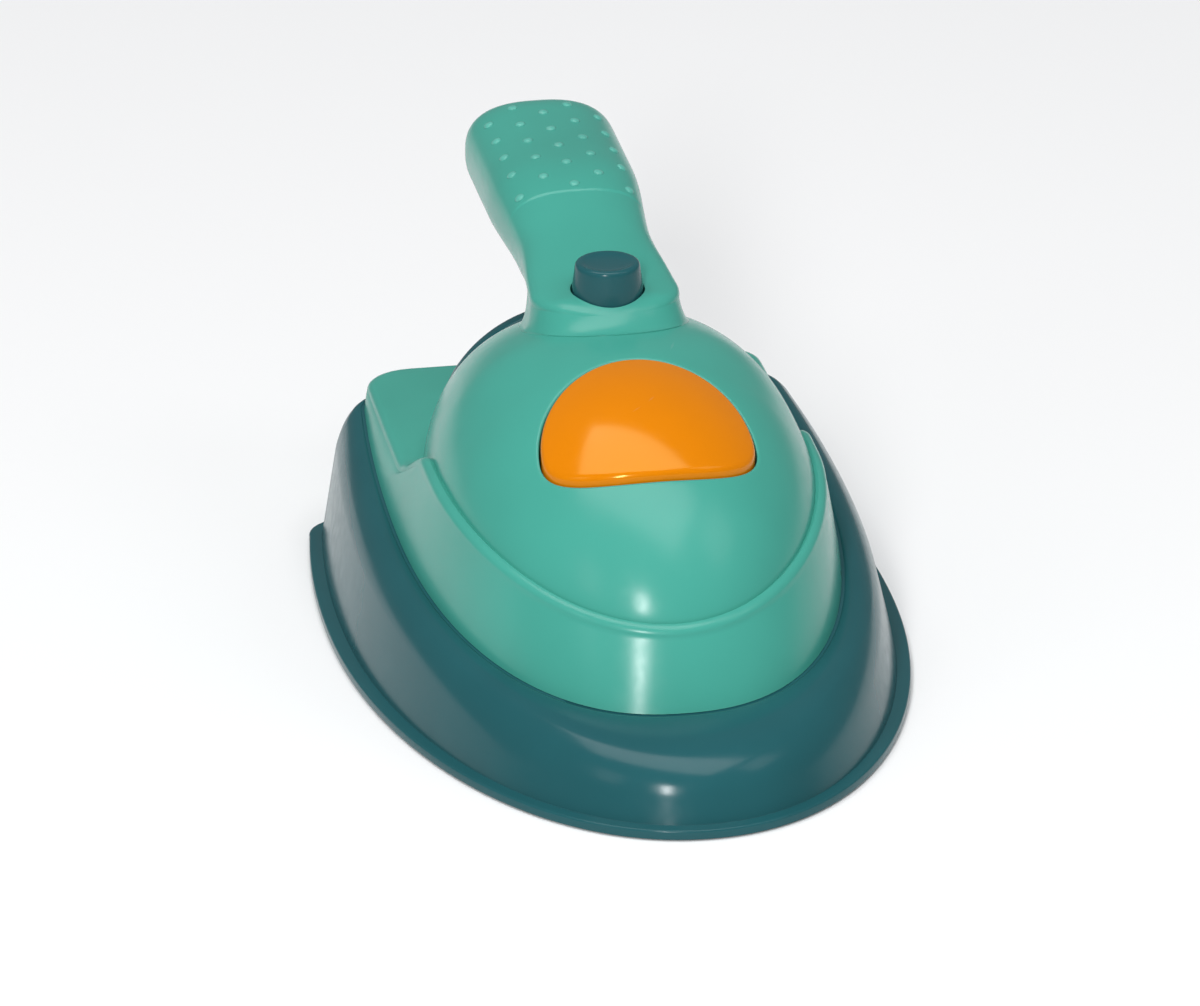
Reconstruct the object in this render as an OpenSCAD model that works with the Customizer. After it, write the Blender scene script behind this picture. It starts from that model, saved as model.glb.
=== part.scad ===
// Toy iron for pretend play: sole plate, skirt, domed body, open-ended handle and two sprung buttons.
// Millimetres. The nose points to -Y, up is +Z, and the sole rests on Z = 0.
// Y is measured from the widest station of the sole while modelling; place() then centres the length.

/* [Sole and skirt] */
// Width of the sole plate at its widest station
sole_w = 111; // [95:1:130]
// Length of the sole from its widest station to the nose
sole_nose = 110; // [90:1:130]
// Length of the sole from its widest station to the rear edge
sole_tail = 57; // [48:1:66]
// Thickness of the sole plate
sole_t = 2; // [1.5:0.1:3]
// Width of the lip that the sole shows round the skirt
lip_w = 2.7; // [1.5:0.1:4]
// Radius of the rear corners of the sole
corner_r = 8; // [4:0.5:14]
// Height of the crease round the skirt at the nose
rim_nose_z = 11; // [9:0.2:12]
// Height of the crease at the rear edge
rim_tail_z = 23; // [18:0.2:24]
// How far the skirt leans in between the lip and the crease
rim_lean = 3.2; // [1:0.1:5]
// Wall of the skirt
skirt_wall = 2.4; // [1.6:0.1:3]

/* [Body] */
// Width of the body where it meets the skirt
seam_w = 85; // [74:1:92]
// Distance from the sole's nose back to the body's seam
nose_shoulder = 26.5; // [22:0.5:32]
// Distance from the seam's nose back to the foot of the dome
nose_wall = 7.9; // [6:0.1:12]
// Height of the seam between body and skirt at the nose
seam_nose_z = 15; // [13.5:0.1:17]
// Height of the seam at the rear edge
seam_tail_z = 28.4; // [25:0.2:30]
// Width of the body across its ridge
ridge_w = 76; // [70:0.5:80]
// Height of the ridge at the nose
ridge_nose_z = 30; // [29:0.2:36]
// Height of the ridge at its highest point
ridge_peak_z = 40; // [36:0.2:44]
// Height of the flat ledge round the back of the dome
ledge_z = 32.4; // [31:0.2:35]
// Height of the top of the dome
dome_z = 64.8; // [60:0.2:70]
// Wall of the body shell
body_wall = 2.4; // [1.8:0.1:3]
// Distance from the sole's rear edge forward to the heel cap
heel_in = 17; // [12:0.2:22]
// How far the rim of the heel cap stands proud of the dome
heel_rim = 3; // [1:0.1:4]
// Thickness of the heel cap
heel_t = 3.6; // [2.5:0.1:5]

/* [Handle] */
// Width of the handle at its root
root_w = 32.4; // [28:0.2:36]
// Width of the handle at its waist
waist_w = 24.8; // [20:0.2:28]
// Width of the handle at the grip
grip_w = 29; // [24:0.2:32]
// Height of the handle's top at the button
root_top_z = 69.7; // [68:0.1:73]
// Height of the handle's top at the grip
grip_top_z = 78; // [75:0.2:82]
// Height of the handle's underside
under_z = 59; // [57.5:0.1:60.5]
// Distance from the widest station of the sole back to the handle's end
handle_end = 85; // [76:1:95]
// Wall of the handle shell
handle_wall = 2; // [1.6:0.1:2.4]
// Thickness of the cover let into the underside
cover_t = 2; // [1.5:0.1:2.6]

/* [Buttons] */
// Width of the steam button
steam_w = 42; // [36:0.5:46]
// Distance from the foot of the dome at the nose back to the steam button
steam_nose_in = 19; // [15:0.5:24]
// Distance from the steam button to the root of the handle
steam_root_in = 14.7; // [8:0.1:18]
// How far the steam button stands proud of the dome
steam_proud = 1.1; // [0.6:0.1:2]
// Travel of the steam button
steam_travel = 2; // [1:0.1:3]
// Diameter of the handle button
knob_d = 13.8; // [11:0.1:14]
// Height of the handle button above the handle
knob_h = 5.2; // [3.5:0.1:7]
// Travel of the handle button
knob_travel = 2.5; // [1.5:0.1:3]
// Diameter of the guide stem under each button
stem_d = 6; // [4:0.1:7]
// Wire of the button springs
wire_d = 0.8; // [0.6:0.05:1]
// Curls of each button spring
curls = 5; // [4:1:6]

/* [Fits and fasteners] */
// Gap round a button in its opening
button_gap = 0.35; // [0.25:0.05:0.6]
// Radial running clearance of a stem in its bore
stem_gap = 0.06; // [0.03:0.01:0.1]
// Gap between a fixed piece and the opening that it fits
seat_gap = 0.2; // [0.1:0.05:0.4]
// Rest gap between a button and its stop
stop_gap = 0.3; // [0.2:0.05:0.5]
// Diameter of a screw's shank
screw_d = 2.6; // [2:0.1:3]
// Diameter of a screw's head
screw_head_d = 5; // [4:0.1:5.4]
// Height of a screw's head
screw_head_h = 1.6; // [1.2:0.1:2]
// Diameter of the bosses that take the screws
boss_d = 7; // [6:0.1:8]

/* [Hidden] */
dark_teal = [0.14, 0.36, 0.39];
light_teal = [0.30, 0.66, 0.59];
orange = [0.93, 0.54, 0.02];
steel = [0.72, 0.73, 0.75];

// Points on a quarter of a nose, along a side and round a rear corner of every outline
nose_steps = 14;
side_steps = 5;
corner_steps = 4;
// Reach used by cutters that pass right through
through = 300;
$fn = 40;

y_mid = (handle_end - sole_nose) / 2;
module place() { translate([0, -y_mid, 0]) children(); }

function mix(a, b, t) = a + (b - a) * t;
function ease(t) = let (u = min(max(t, 0), 1)) u * u * (3 - 2 * u);

// Plan outlines: a superellipse nose, slowly tapering sides and rounded rear corners.
// half_w is at y = yc, nose and tail are reached from yc, semi sets how fast the sides taper.
function half_outline(half_w, yc, nose, tail, power, semi, r) =
    let (side = tail - r, rear_w = half_w * sqrt(1 - pow(side / semi, 2)))
    concat(
        [for (i = [0:nose_steps]) let (t = 90 * i / nose_steps)
            [half_w * pow(sin(t), 2 / power), yc - nose * pow(cos(t), 2 / power)]],
        [for (i = [1:side_steps]) let (v = side * i / side_steps)
            [half_w * sqrt(1 - pow(v / semi, 2)), yc + v]],
        [for (i = [1:corner_steps]) let (t = 90 * i / corner_steps)
            [rear_w - r + r * cos(t), yc + side + r * sin(t)]]);
function both_sides(half) =
    concat(half, [for (i = [len(half) - 1:-1:1]) [-half[i][0], half[i][1]]]);
function at_z(outline, height) = [for (p = outline) [p[0], p[1], height(p)]];
function mix_rings(a, b, t, lift) =
    [for (i = [0:len(a) - 1]) mix(a[i], b[i], t) + [0, 0, lift]];

// Solid between rings of equal length, each counter-clockwise from above and listed upwards
module loft(rings) {
    n = len(rings[0]);
    last = (len(rings) - 1) * n;
    polyhedron(
        points = [for (r = rings) each r],
        faces = concat(
            [[for (j = [0:n - 1]) j]],
            [for (i = [0:len(rings) - 2]) for (j = [0:n - 1]) let (k = (j + 1) % n)
                let (a = i * n, b = (i + 1) * n)
                each [[a + j, b + j, b + k], [a + j, b + k, a + k]]],
            [[for (j = [n - 1:-1:0]) last + j]]));
}

// Sole and skirt

sole_taper = 130;
sole_power = 2.05;
function sole_outline(inset, tail_inset) = both_sides(half_outline(sole_w / 2 - inset, 0,
    sole_nose - inset, sole_tail - tail_inset, sole_power, sole_taper, corner_r));

seam_yc = 5.4;
seam_nose = sole_nose - nose_shoulder + seam_yc;
seam_taper = 134;
seam_power = 2.3;
// The seam stays this far inside the sole's rear edge
seam_in = 1.4;
seam_tail = sole_tail - seam_in - seam_yc;
seam_slope = (seam_tail_z - seam_nose_z) / (seam_nose + seam_tail);
function seam_z(y) = seam_nose_z + seam_slope * (y - seam_yc + seam_nose);
function seam_outline(inset) = both_sides(half_outline(seam_w / 2 - inset, seam_yc,
    seam_nose - inset, seam_tail - inset, seam_power, seam_taper, corner_r));
function seam_ring(inset, up) = at_z(seam_outline(inset), function (p) seam_z(p[1]) + up);

// The skirt's own step outwards from the body at the seam
seam_step = 0.6;
// Crown of the shoulder between crease and seam
shoulder_crown = 1.6;
// The crease is rounded over this height and width
rim_round = 1.4;
rim_turn = 0.6;
function rim_z(y) = mix(rim_nose_z, rim_tail_z, (y + sole_nose) / (sole_nose + sole_tail));
function rim_ring(lean, inset, height) = at_z(sole_outline(lip_w + lean + inset, lip_w + inset), height);
function skirt_rings(inset) =
    let (rim = rim_ring(rim_lean + rim_turn, inset, function (p) rim_z(p[1]) - inset),
        seam = seam_ring(inset - seam_step, -inset))
    [rim_ring(0, inset, function (p) sole_t),
        rim_ring(rim_lean, inset, function (p) rim_z(p[1]) - rim_round - inset), rim,
        mix_rings(rim, seam, 0.3, shoulder_crown * 0.8), mix_rings(rim, seam, 0.65, shoulder_crown), seam];

// Screw places in the sole, one at the nose and two on each side
nose_screw_in = 44;
side_screw_in = 6.8;
side_screw_y = -12;
rear_screw_in = 8.5;
rear_screw_back = 16;
side_screw_x = seam_w / 2 - side_screw_in;
rear_screw_x = seam_w / 2 - rear_screw_in;
sole_screw_at = [[0, nose_screw_in - sole_nose], [-side_screw_x, side_screw_y], [side_screw_x, side_screw_y],
    [-rear_screw_x, sole_tail - rear_screw_back], [rear_screw_x, sole_tail - rear_screw_back]];
// Standoffs of the sole with their recesses for the screw heads
standoff_top = 9;
recess_d = screw_head_d + 1;
recess_wall = 1.6;
web_t = 2.2;
// Depth of the head below the sole's face
head_sunk = standoff_top - web_t;

// Blind dimples that stand for steam holes, on a smaller copy of the sole's nose
dimple_d = 3;
dimple_depth = 0.8;
dimple_count = 13;
dimple_in = 19;
dimple_arc = 70;
function dimple_at(i) = let (t = mix(-dimple_arc, dimple_arc, i / (dimple_count - 1)))
    [(sole_w / 2 - dimple_in) * sin(t), (dimple_in - sole_nose) * cos(t)];

module sole_plate() color(dark_teal) place() difference() {
    union() {
        linear_extrude(sole_t) polygon(sole_outline(0, 0));
        for (p = sole_screw_at) translate([p[0], p[1], 0])
            cylinder(d = recess_d + 2 * recess_wall, h = standoff_top);
    }
    for (p = sole_screw_at) translate([p[0], p[1], -1]) {
        cylinder(d = recess_d, h = head_sunk + 1);
        cylinder(d = screw_d + 2 * seat_gap, h = through);
    }
    for (i = [0:dimple_count - 1]) translate([dimple_at(i)[0], dimple_at(i)[1], -1])
        cylinder(d = dimple_d, h = 1 + dimple_depth);
}

module base_skirt() color(dark_teal) place() difference() {
    loft(skirt_rings(0));
    skirt_cavity();
}
module skirt_cavity() {
    rings = skirt_rings(skirt_wall);
    lower = [for (p = rings[0]) p - [0, 0, 1]];
    loft(concat([lower], [for (i = [1:len(rings) - 1]) rings[i]], [seam_ring(skirt_wall - seam_step, 1)]));
}

// Body

// The foot of the dome is this far below the ledge
foot_sunk = 3.2;
dome_foot_z = ledge_z - foot_sunk;
dome_yc = -16.2;
// The ridge stands proud of the dome by this much at the sides and at the nose
ridge_side = 0.3;
ridge_front = 1.6;
dome_w = ridge_w / 2 - ridge_side;
dome_nose = sole_nose - nose_shoulder - nose_wall + dome_yc;
// The dome's curve runs on behind the heel cap, which cuts it off
heel_y = sole_tail - heel_in;
heel_over = 14.8;
dome_tail = heel_y - dome_yc + heel_over;
dome_side_power = 1.0;
dome_end_power = 1.4;
function dome_reach(y) = y < dome_yc ? dome_nose : dome_tail;
function dome_power(u, v) = let (q = u * u + v * v)
    q < 0.000001 ? dome_end_power : mix(dome_end_power, dome_side_power, u * u / q);
// Height of the dome, moved inwards by inset
function dome_at(x, y, inset) =
    let (u = x / (dome_w - inset), v = (y - dome_yc) / (dome_reach(y) - inset), q = u * u + v * v)
    dome_foot_z + (dome_z - dome_foot_z - inset) * pow(max(1 - q, 0), dome_power(u, v) / 2);
dome_rings = 14;
dome_sides = 48;
function dome_ring(inset, rise) = let (rho = cos(rise))
    [for (i = [0:dome_sides - 1]) let (t = 360 * i / dome_sides, u = sin(t), v = -cos(t),
        reach = (v < 0 ? dome_nose : dome_tail) - inset)
        [rho * u * (dome_w - inset), dome_yc + rho * v * reach,
            dome_foot_z + (dome_z - dome_foot_z - inset) * pow(sin(rise), dome_power(u, v))]];
module dome(inset, foot_drop, back, rings) {
    steep = 88.5;
    foot = [for (p = dome_ring(inset, 0)) p - [0, 0, foot_drop]];
    intersection() {
        loft(concat([foot], [for (i = [0:rings]) dome_ring(inset, steep * i / rings)]));
        translate([-through / 2, back - through, -through / 2]) cube(through);
    }
}

// Lower tier: wall from the seam to the ridge, with the ledge behind
ridge_yc = dome_yc;
ridge_nose = dome_nose + ridge_front;
ridge_taper = 330;
ridge_round = 1.3;
// The ledge leans out over the sole's rear edge by this much
ledge_over = 1.4;
ledge_y = sole_tail + ledge_over;
ridge_tail = ledge_y - ridge_yc;
ridge_peak_y = -19;
// The ridge falls to the ledge between these stations, and the ledge is wider than the ridge by ledge_out
fall_start = -9;
ledge_start = 10;
ledge_out = 1.6;
function ledge_share(y) = ease((y - fall_start) / (ledge_start - fall_start));
function ridge_z(y) = y < ridge_peak_y
    ? mix(ridge_peak_z, ridge_nose_z, pow((ridge_peak_y - y) / (ridge_peak_y - ridge_yc + ridge_nose), 1.6))
    : mix(ridge_peak_z, ledge_z, ledge_share(y));
function ridge_outline(inset) = [for (p = both_sides(half_outline(ridge_w / 2 - inset, ridge_yc,
    ridge_nose - inset, ridge_tail - inset, 2, ridge_taper, corner_r)))
    [p[0] * (1 + ledge_share(p[1]) * ledge_out / (ridge_w / 2)), p[1]]];
function ridge_ring(inset, down) = at_z(ridge_outline(inset), function (p) ridge_z(p[1]) - down);
// Bulge of the wall half way up
wall_bulge = 0.5;
function tier_rings(inset) =
    let (low = seam_ring(inset, 0), top = ridge_ring(inset - 0.4, 1.2 * ridge_round + inset))
    [low, mix_rings(low, top, 0.5, wall_bulge), top,
        ridge_ring(inset + ridge_round * 0.3, ridge_round * 0.3 + inset),
        ridge_ring(inset + ridge_round, inset),
        [for (p = ridge_outline(inset)) [p[0] * 0.5, mix(dome_yc, p[1], 0.5), ledge_z - inset]]];

module body_outer() {
    loft(tier_rings(0));
    dome(0, 2, heel_y, dome_rings);
}
module body_inner() {
    rings = tier_rings(body_wall);
    below = [for (p = rings[0]) p - [0, 0, 1]];
    loft(concat([below], [for (i = [1:len(rings) - 1]) rings[i]]));
    dome(body_wall, 3.5, heel_y - body_wall, dome_rings - 4);
}

// Handle root: the plug passes through the dome and stands on a floor in the body
plug_front = -9.6;
plug_back = 12.5;
plug_r = 2.5;
plug_depth = 7.5;
plug_floor_z = dome_z - plug_depth;
floor_t = 2.5;
knob_y = 0.5;
root_screw_in = 5.2;
root_screw_x = root_w / 2 - root_screw_in;
plug_steps = 6;
// The plug follows the handle's own width, with a round front and rounded rear corners
root_round = 14;
root_y = plug_front + root_round;
plug_front_steps = 12;
function plug_corner(y, t, grow) =
    [handle_half_w(y) + grow - (plug_r + grow) * (1 - sin(t)), y + (plug_r + grow) * cos(t)];
function plug_half(grow) = concat(
    [for (i = [1:plug_front_steps]) let (t = 90 * i / plug_front_steps)
        [(handle_half_w(root_y) + grow) * sin(t), root_y - (root_round + grow) * cos(t)]],
    [for (i = [1:plug_steps - 1]) let (y = mix(root_y, plug_back - plug_r, i / plug_steps))
        [handle_half_w(y) + grow, y]],
    [for (i = [plug_steps:-1:0]) plug_corner(plug_back - plug_r, 90 * i / plug_steps, grow)]);
module plug_plan(grow) {
    half = plug_half(grow);
    polygon(concat([[0, plug_front - grow]], half, [for (i = [len(half) - 1:-1:0]) [-half[i][0], half[i][1]]]));
}
module rounded_plan(w, l, r) union() {
    square([w - 2 * r, l], center = true);
    square([w, l - 2 * r], center = true);
    for (x = [-1, 1]) for (y = [-1, 1]) translate([x * (w / 2 - r), y * (l / 2 - r)]) circle(r);
}
function root_screw_at(side) = [side * root_screw_x, plug_back - boss_d / 2 - 1];

// Steam button opening: arched towards the handle, flatter towards the nose
steam_y_back = plug_front - steam_root_in;
steam_len = steam_y_back - dome_yc + dome_nose - steam_nose_in;
// Share of the length that lies before its widest station
steam_split = 0.38;
steam_front = steam_len * steam_split;
steam_back = steam_len - steam_front;
steam_yc = steam_y_back - steam_back;
steam_power = 2.05;
steam_sides = 40;
function steam_outline(grow) = [for (i = [0:steam_sides - 1])
    let (t = 360 * i / steam_sides, s = sin(t), c = cos(t), e = c < 0 ? 1 : 2 / steam_power)
    [(steam_w / 2 + grow) * sign(s) * pow(abs(s), e),
        steam_yc - ((c < 0 ? steam_back : steam_front) + grow) * sign(c) * pow(abs(c), e)]];
collar_wall = 1.8;
// The collar round the button ends on a flat plane, below the lowest place of the dome's inner face
collar_z = min([for (p = steam_outline(collar_wall + 0.4)) dome_at(p[0], p[1], body_wall)]) - 0.6;

// Bracket under the steam button
bracket_y = steam_yc + 2;
bracket_t = 2.5;
bracket_w = 13;
steam_flange_t = 1.7;
steam_flange_z = collar_z - stop_gap - steam_flange_t;
// Room under the flange for the spring, of which the travel uses a part
spring_rest = 8;
spring_room = spring_rest + steam_travel;
bracket_z = steam_flange_z - spring_room - bracket_t;
bracket_screw_out = 5.9;
bracket_screw_x = steam_w / 2 + bracket_screw_out;
// Posts on which a pressed button lands, lower than its travel by press_gap
press_gap = 0.2;
steam_post_x = 12;
steam_post_d = 4;
knob_post_d = 2.4;

// Heel cap and the bosses behind it
heel_screw_x = 14;
heel_screw_up = 7;
heel_screw_z = ledge_z + heel_screw_up;
function heel_half_w(inset) = (dome_w - inset) * sqrt(1 - pow((heel_y - dome_yc) / (dome_tail - inset), 2));
heel_steps = 24;
function heel_outline(inset, grow) = let (w = heel_half_w(inset))
    [for (i = [0:heel_steps]) let (t = -90 + 180 * i / heel_steps, x = w * sin(t) * 0.999)
        [(w + grow) * sin(t), dome_at(x, heel_y, inset) + grow * cos(t)]];
heel_window_in = 6;

module body_shell() color(light_teal) place() {
    body_moulding();
    for (x = [-1, 1]) translate([x * (knob_d + lug_reach) / 2, knob_y, plug_floor_z - floor_t / 2])
        cylinder(d = knob_post_d, h = lug_z - knob_travel - press_gap - plug_floor_z + floor_t / 2);
}
module body_moulding() difference() {
    union() {
        difference() {
            body_outer();
            body_inner();
        }
        for (p = sole_screw_at) translate([p[0], p[1], standoff_top])
            cylinder(d = boss_d, h = seam_z(p[1]) + 3 - standoff_top);
        intersection() {
            body_outer();
            union() {
                translate([0, 0, collar_z]) linear_extrude(through) polygon(steam_outline(collar_wall));
                translate([0, 0, plug_floor_z - floor_t]) linear_extrude(through)
                    plug_plan(seat_gap + body_wall);
                for (p = sole_screw_at) translate([p[0], p[1], 0]) cylinder(d = boss_d, h = through);
                for (x = [-1, 1]) translate([x * bracket_screw_x, bracket_y, bracket_z + bracket_t])
                    cylinder(d = boss_d, h = through);
                for (x = [-1, 1]) translate([x * heel_screw_x, heel_y, heel_screw_z]) rotate([90, 0, 0])
                    cylinder(d = boss_d, h = heel_bite + bore_spare + 1.5);
            }
        }
    }
    translate([0, 0, collar_z - 1]) linear_extrude(through) polygon(steam_outline(0));
    translate([0, 0, plug_floor_z]) linear_extrude(through) plug_plan(seat_gap);
    translate([0, knob_y, 0]) cylinder(d = stem_d + 2 * stem_gap, h = through);
    for (side = [-1, 1]) translate([root_screw_at(side)[0], root_screw_at(side)[1], 0])
        cylinder(d = screw_d + 2 * seat_gap, h = through);
    for (p = sole_screw_at) translate([p[0], p[1], 0])
        cylinder(d = screw_d, h = standoff_top + sole_bite + bore_spare);
    for (x = [-1, 1]) translate([x * bracket_screw_x, bracket_y, 0])
        cylinder(d = screw_d, h = bracket_z + bracket_t + bracket_bite + bore_spare);
    for (x = [-1, 1]) translate([x * heel_screw_x, heel_y + 1, heel_screw_z]) rotate([90, 0, 0])
        cylinder(d = screw_d, h = 1 + heel_bite + bore_spare);
    translate([0, heel_y + 1, 0]) rotate([90, 0, 0]) linear_extrude(body_wall + 2) intersection() {
        polygon(heel_outline(heel_window_in, 0));
        translate([-heel_screw_x + boss_d / 2, ledge_z + 1]) square([2 * heel_screw_x - boss_d, through]);
    }
}

module heel_cap() color(dark_teal) place() difference() {
    translate([0, heel_y + heel_t, 0]) rotate([90, 0, 0]) {
        linear_extrude(heel_t) polygon(heel_outline(0, heel_rim));
    }
    translate([-through / 2, 0, ledge_z - through]) cube(through);
    for (x = [-1, 1]) translate([x * heel_screw_x, heel_y - 1, heel_screw_z]) rotate([-90, 0, 0]) {
        cylinder(d = screw_d + 2 * seat_gap, h = through);
        translate([0, 0, 1 + heel_t - screw_head_h]) cylinder(d = screw_head_d + 2 * seat_gap, h = through);
    }
}

// Handle: rounded sections along Y from the root to the end

handle_sides = 28;
handle_steps = 28;
// Squareness of the section at the root and at the grip
root_power = 5;
grip_power = 2.9;
power_from = -6;
power_len = 34;
function handle_power(y) = mix(root_power, grip_power, ease((y - power_from) / power_len));
end_round = 11;
end_power = 2.6;
// Share of the full section left at y by the rounded end
function end_share(y, inset) = let (u = max(y - handle_end + inset + end_round, 0) / end_round)
    pow(max(1 - pow(u, end_power), 0.0004), 1 / end_power);
// Where the handle narrows to its waist, widens to the grip and rises, each with its length
waist_from = -6;
waist_len = 34;
grip_from = 26;
grip_len = 28;
rise_from = -2;
rise_len = 52;
function handle_half_w(y) = mix(root_w, waist_w, ease((y - waist_from) / waist_len)) / 2
    + (grip_w - waist_w) / 2 * ease((y - grip_from) / grip_len);
// The top rounds over to the front
front_drop = 5;
front_round = 2.6;
function handle_top(y) = mix(root_top_z, grip_top_z, ease((y - rise_from) / rise_len))
    - front_drop * pow(max(1 - (y - plug_front) / front_round, 0), 2);
// The underside starts clear above the dome and settles along the grip
root_under_up = 3.8;
under_from = 12;
under_len = 16;
function handle_under(y) = under_z + mix(root_under_up, 0, ease((y - under_from) / under_len));
// Shares of the section's height and width that the rounded end takes away
end_flat = 0.72;
end_narrow = 0.8;
// Share of the width left at y by the round front of the root
function root_share(y, inset) = let (u = max(root_y - y + inset, 0) / root_round)
    sqrt(max(1 - u * u, 0.0004));
function handle_ring(y, inset) =
    let (share = end_share(y, inset), mid = (handle_top(y) + handle_under(y)) / 2, e = 2 / handle_power(y),
        h = ((handle_top(y) - handle_under(y)) / 2 - inset) * mix(1, share, end_flat),
        w = (handle_half_w(max(y, root_y)) - inset) * root_share(y, inset) * mix(1, share, end_narrow))
    [for (i = [0:handle_sides - 1]) let (t = 360 * i / handle_sides, c = cos(t), s = sin(t))
        [w * sign(c) * pow(abs(c), e), y, mid + h * sign(s) * pow(abs(s), e)]];
module handle_form(inset) loft([for (i = [handle_steps:-1:0])
    handle_ring(mix(plug_front + inset, handle_end - inset, (1 - cos(180 * i / handle_steps)) / 2), inset)]);

// Cover of the underside: its ends and edges stay inside the handle's outline
cover_front = 24;
cover_end_in = 9;
cover_side_in = 4;
cover_back = handle_end - cover_end_in;
cover_w = waist_w - 2 * cover_side_in;
cover_r = 5;
// Width and height of the rim that the cover rests on
cover_rest = 1.6;
// Web left under a screw's head in the cover
cover_web = 0.8;
cover_sunk = 0.1;
cover_z = under_z + cover_sunk;
cover_screw_in = 7;
cover_screw_at = [cover_front + cover_screw_in, cover_back - cover_screw_in];
module cover_plan(grow) translate([0, (cover_front + cover_back) / 2])
    rounded_plan(cover_w + 2 * grow, cover_back - cover_front + 2 * grow, cover_r + grow);

// The plug reaches up into the handle to this depth below the handle's top
plug_lap = 4;

module handle_shell() color(light_teal) place() difference() {
    union() {
        difference() {
            union() {
                handle_form(0);
                translate([0, 0, plug_floor_z]) linear_extrude(root_top_z - plug_floor_z - plug_lap)
                    plug_plan(0);
            }
            handle_form(handle_wall);
            translate([0, 0, plug_floor_z - 1]) linear_extrude(root_top_z - plug_floor_z - plug_lap + 2)
                plug_plan(-handle_wall);
            translate([0, 0, -1]) linear_extrude(under_z + 3 * handle_wall) cover_plan(-cover_rest);
        }
        translate([0, 0, cover_z + cover_t / 2]) linear_extrude(cover_t / 2 + cover_rest) difference() {
            cover_plan(cover_rest);
            cover_plan(-cover_rest);
        }
        for (y = cover_screw_at) translate([0, y, cover_z + cover_t])
            cylinder(d = boss_d, h = handle_top(y) - handle_wall / 2 - cover_z - cover_t);
        for (side = [-1, 1]) translate([root_screw_at(side)[0], root_screw_at(side)[1], plug_floor_z])
            cylinder(d = boss_d, h = handle_top(root_screw_at(side)[1]) - handle_wall / 2 - plug_floor_z);
    }
    translate([0, 0, -1]) linear_extrude(cover_z + cover_t + 1) cover_plan(seat_gap);
    translate([0, knob_y, root_top_z - handle_wall - 3]) cylinder(d = knob_d + 2 * button_gap, h = through);
    for (y = cover_screw_at) translate([0, y, 0])
        cylinder(d = screw_d, h = cover_z + cover_t + cover_bite + bore_spare);
    for (side = [-1, 1]) translate([root_screw_at(side)[0], root_screw_at(side)[1], 0])
        cylinder(d = screw_d, h = plug_floor_z + root_bite + bore_spare);
}

module handle_cover() color(light_teal) place() difference() {
    translate([0, 0, cover_z]) linear_extrude(cover_t) cover_plan(0);
    for (y = cover_screw_at) translate([0, y, 0]) {
        cylinder(d = screw_d + 2 * seat_gap, h = through);
        cylinder(d = screw_head_d + 2 * seat_gap, h = cover_z + cover_t - cover_web);
    }
}

// Buttons

// Length of each stem below its bore at rest
stem_over = 1;
// Crown of the steam button above the dome's own curve, and its rounded edge
steam_crown = 0.8;
edge = 0.7;
function steam_top(p, share, drop) = let (x = p[0] * share, y = mix(steam_yc + 3, p[1], share))
    [x, y, dome_at(x, y, 0) + steam_proud - drop + steam_crown * (1 - share * share)];
module steam_button() color(orange) place() {
    outline = steam_outline(-button_gap);
    flange_top = steam_flange_z + steam_flange_t;
    loft([
        [for (p = outline) [p[0], p[1], steam_flange_z + 0.2]],
        [for (p = outline) steam_top(p, 1, edge)],
        [for (p = outline) steam_top(p, 0.99, edge * 0.3)],
        [for (p = outline) steam_top(p, 0.965, 0)],
        for (share = [0.85, 0.65, 0.45, 0.25, 0.06]) [for (p = outline) steam_top(p, share, 0)]]);
    translate([0, 0, steam_flange_z]) linear_extrude(steam_flange_t) polygon(steam_outline(collar_wall));
    translate([0, bracket_y, bracket_z - stem_over])
        cylinder(d = stem_d, h = flange_top - bracket_z + stem_over);
}

bracket_r = 3.5;
module spring_bracket() color(light_teal) place() difference() {
    translate([0, bracket_y, bracket_z]) union() {
        linear_extrude(bracket_t) rounded_plan(2 * bracket_screw_x + boss_d, bracket_w, bracket_r);
        for (x = [-1, 1]) translate([x * steam_post_x, 0, 0])
            cylinder(d = steam_post_d, h = bracket_t + spring_rest - press_gap);
    }
    translate([0, bracket_y, 0]) cylinder(d = stem_d + 2 * stem_gap, h = through);
    for (x = [-1, 1]) translate([x * bracket_screw_x, bracket_y, 0])
        cylinder(d = screw_d + 2 * seat_gap, h = through);
}

// Handle button: tapered cap, guide, two stop lugs and a stem
knob_taper = 0.6;
knob_edge = 0.7;
knob_rim = 1.2;
knob_dish = 0.5;
lug_t = 1.8;
lug_w = 5;
lug_reach = 2.6;
lug_z = root_top_z - handle_wall - stop_gap - lug_t;
knob_top = root_top_z + knob_h;
module handle_button() color(dark_teal) place() translate([0, knob_y, 0]) {
    rotate_extrude() polygon([[0, lug_z], [knob_d / 2, lug_z], [knob_d / 2, root_top_z],
        [knob_d / 2 - knob_taper, knob_top - knob_edge], [knob_d / 2 - knob_taper - knob_edge, knob_top],
        [knob_d / 2 - knob_taper - knob_edge - knob_rim, knob_top], [0, knob_top - knob_dish]]);
    translate([-knob_d / 2 - lug_reach, -lug_w / 2, lug_z]) cube([knob_d + 2 * lug_reach, lug_w, lug_t]);
    translate([0, 0, plug_floor_z - floor_t - stem_over])
        cylinder(d = stem_d, h = lug_z - plug_floor_z + floor_t + stem_over + lug_t / 2);
}

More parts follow.
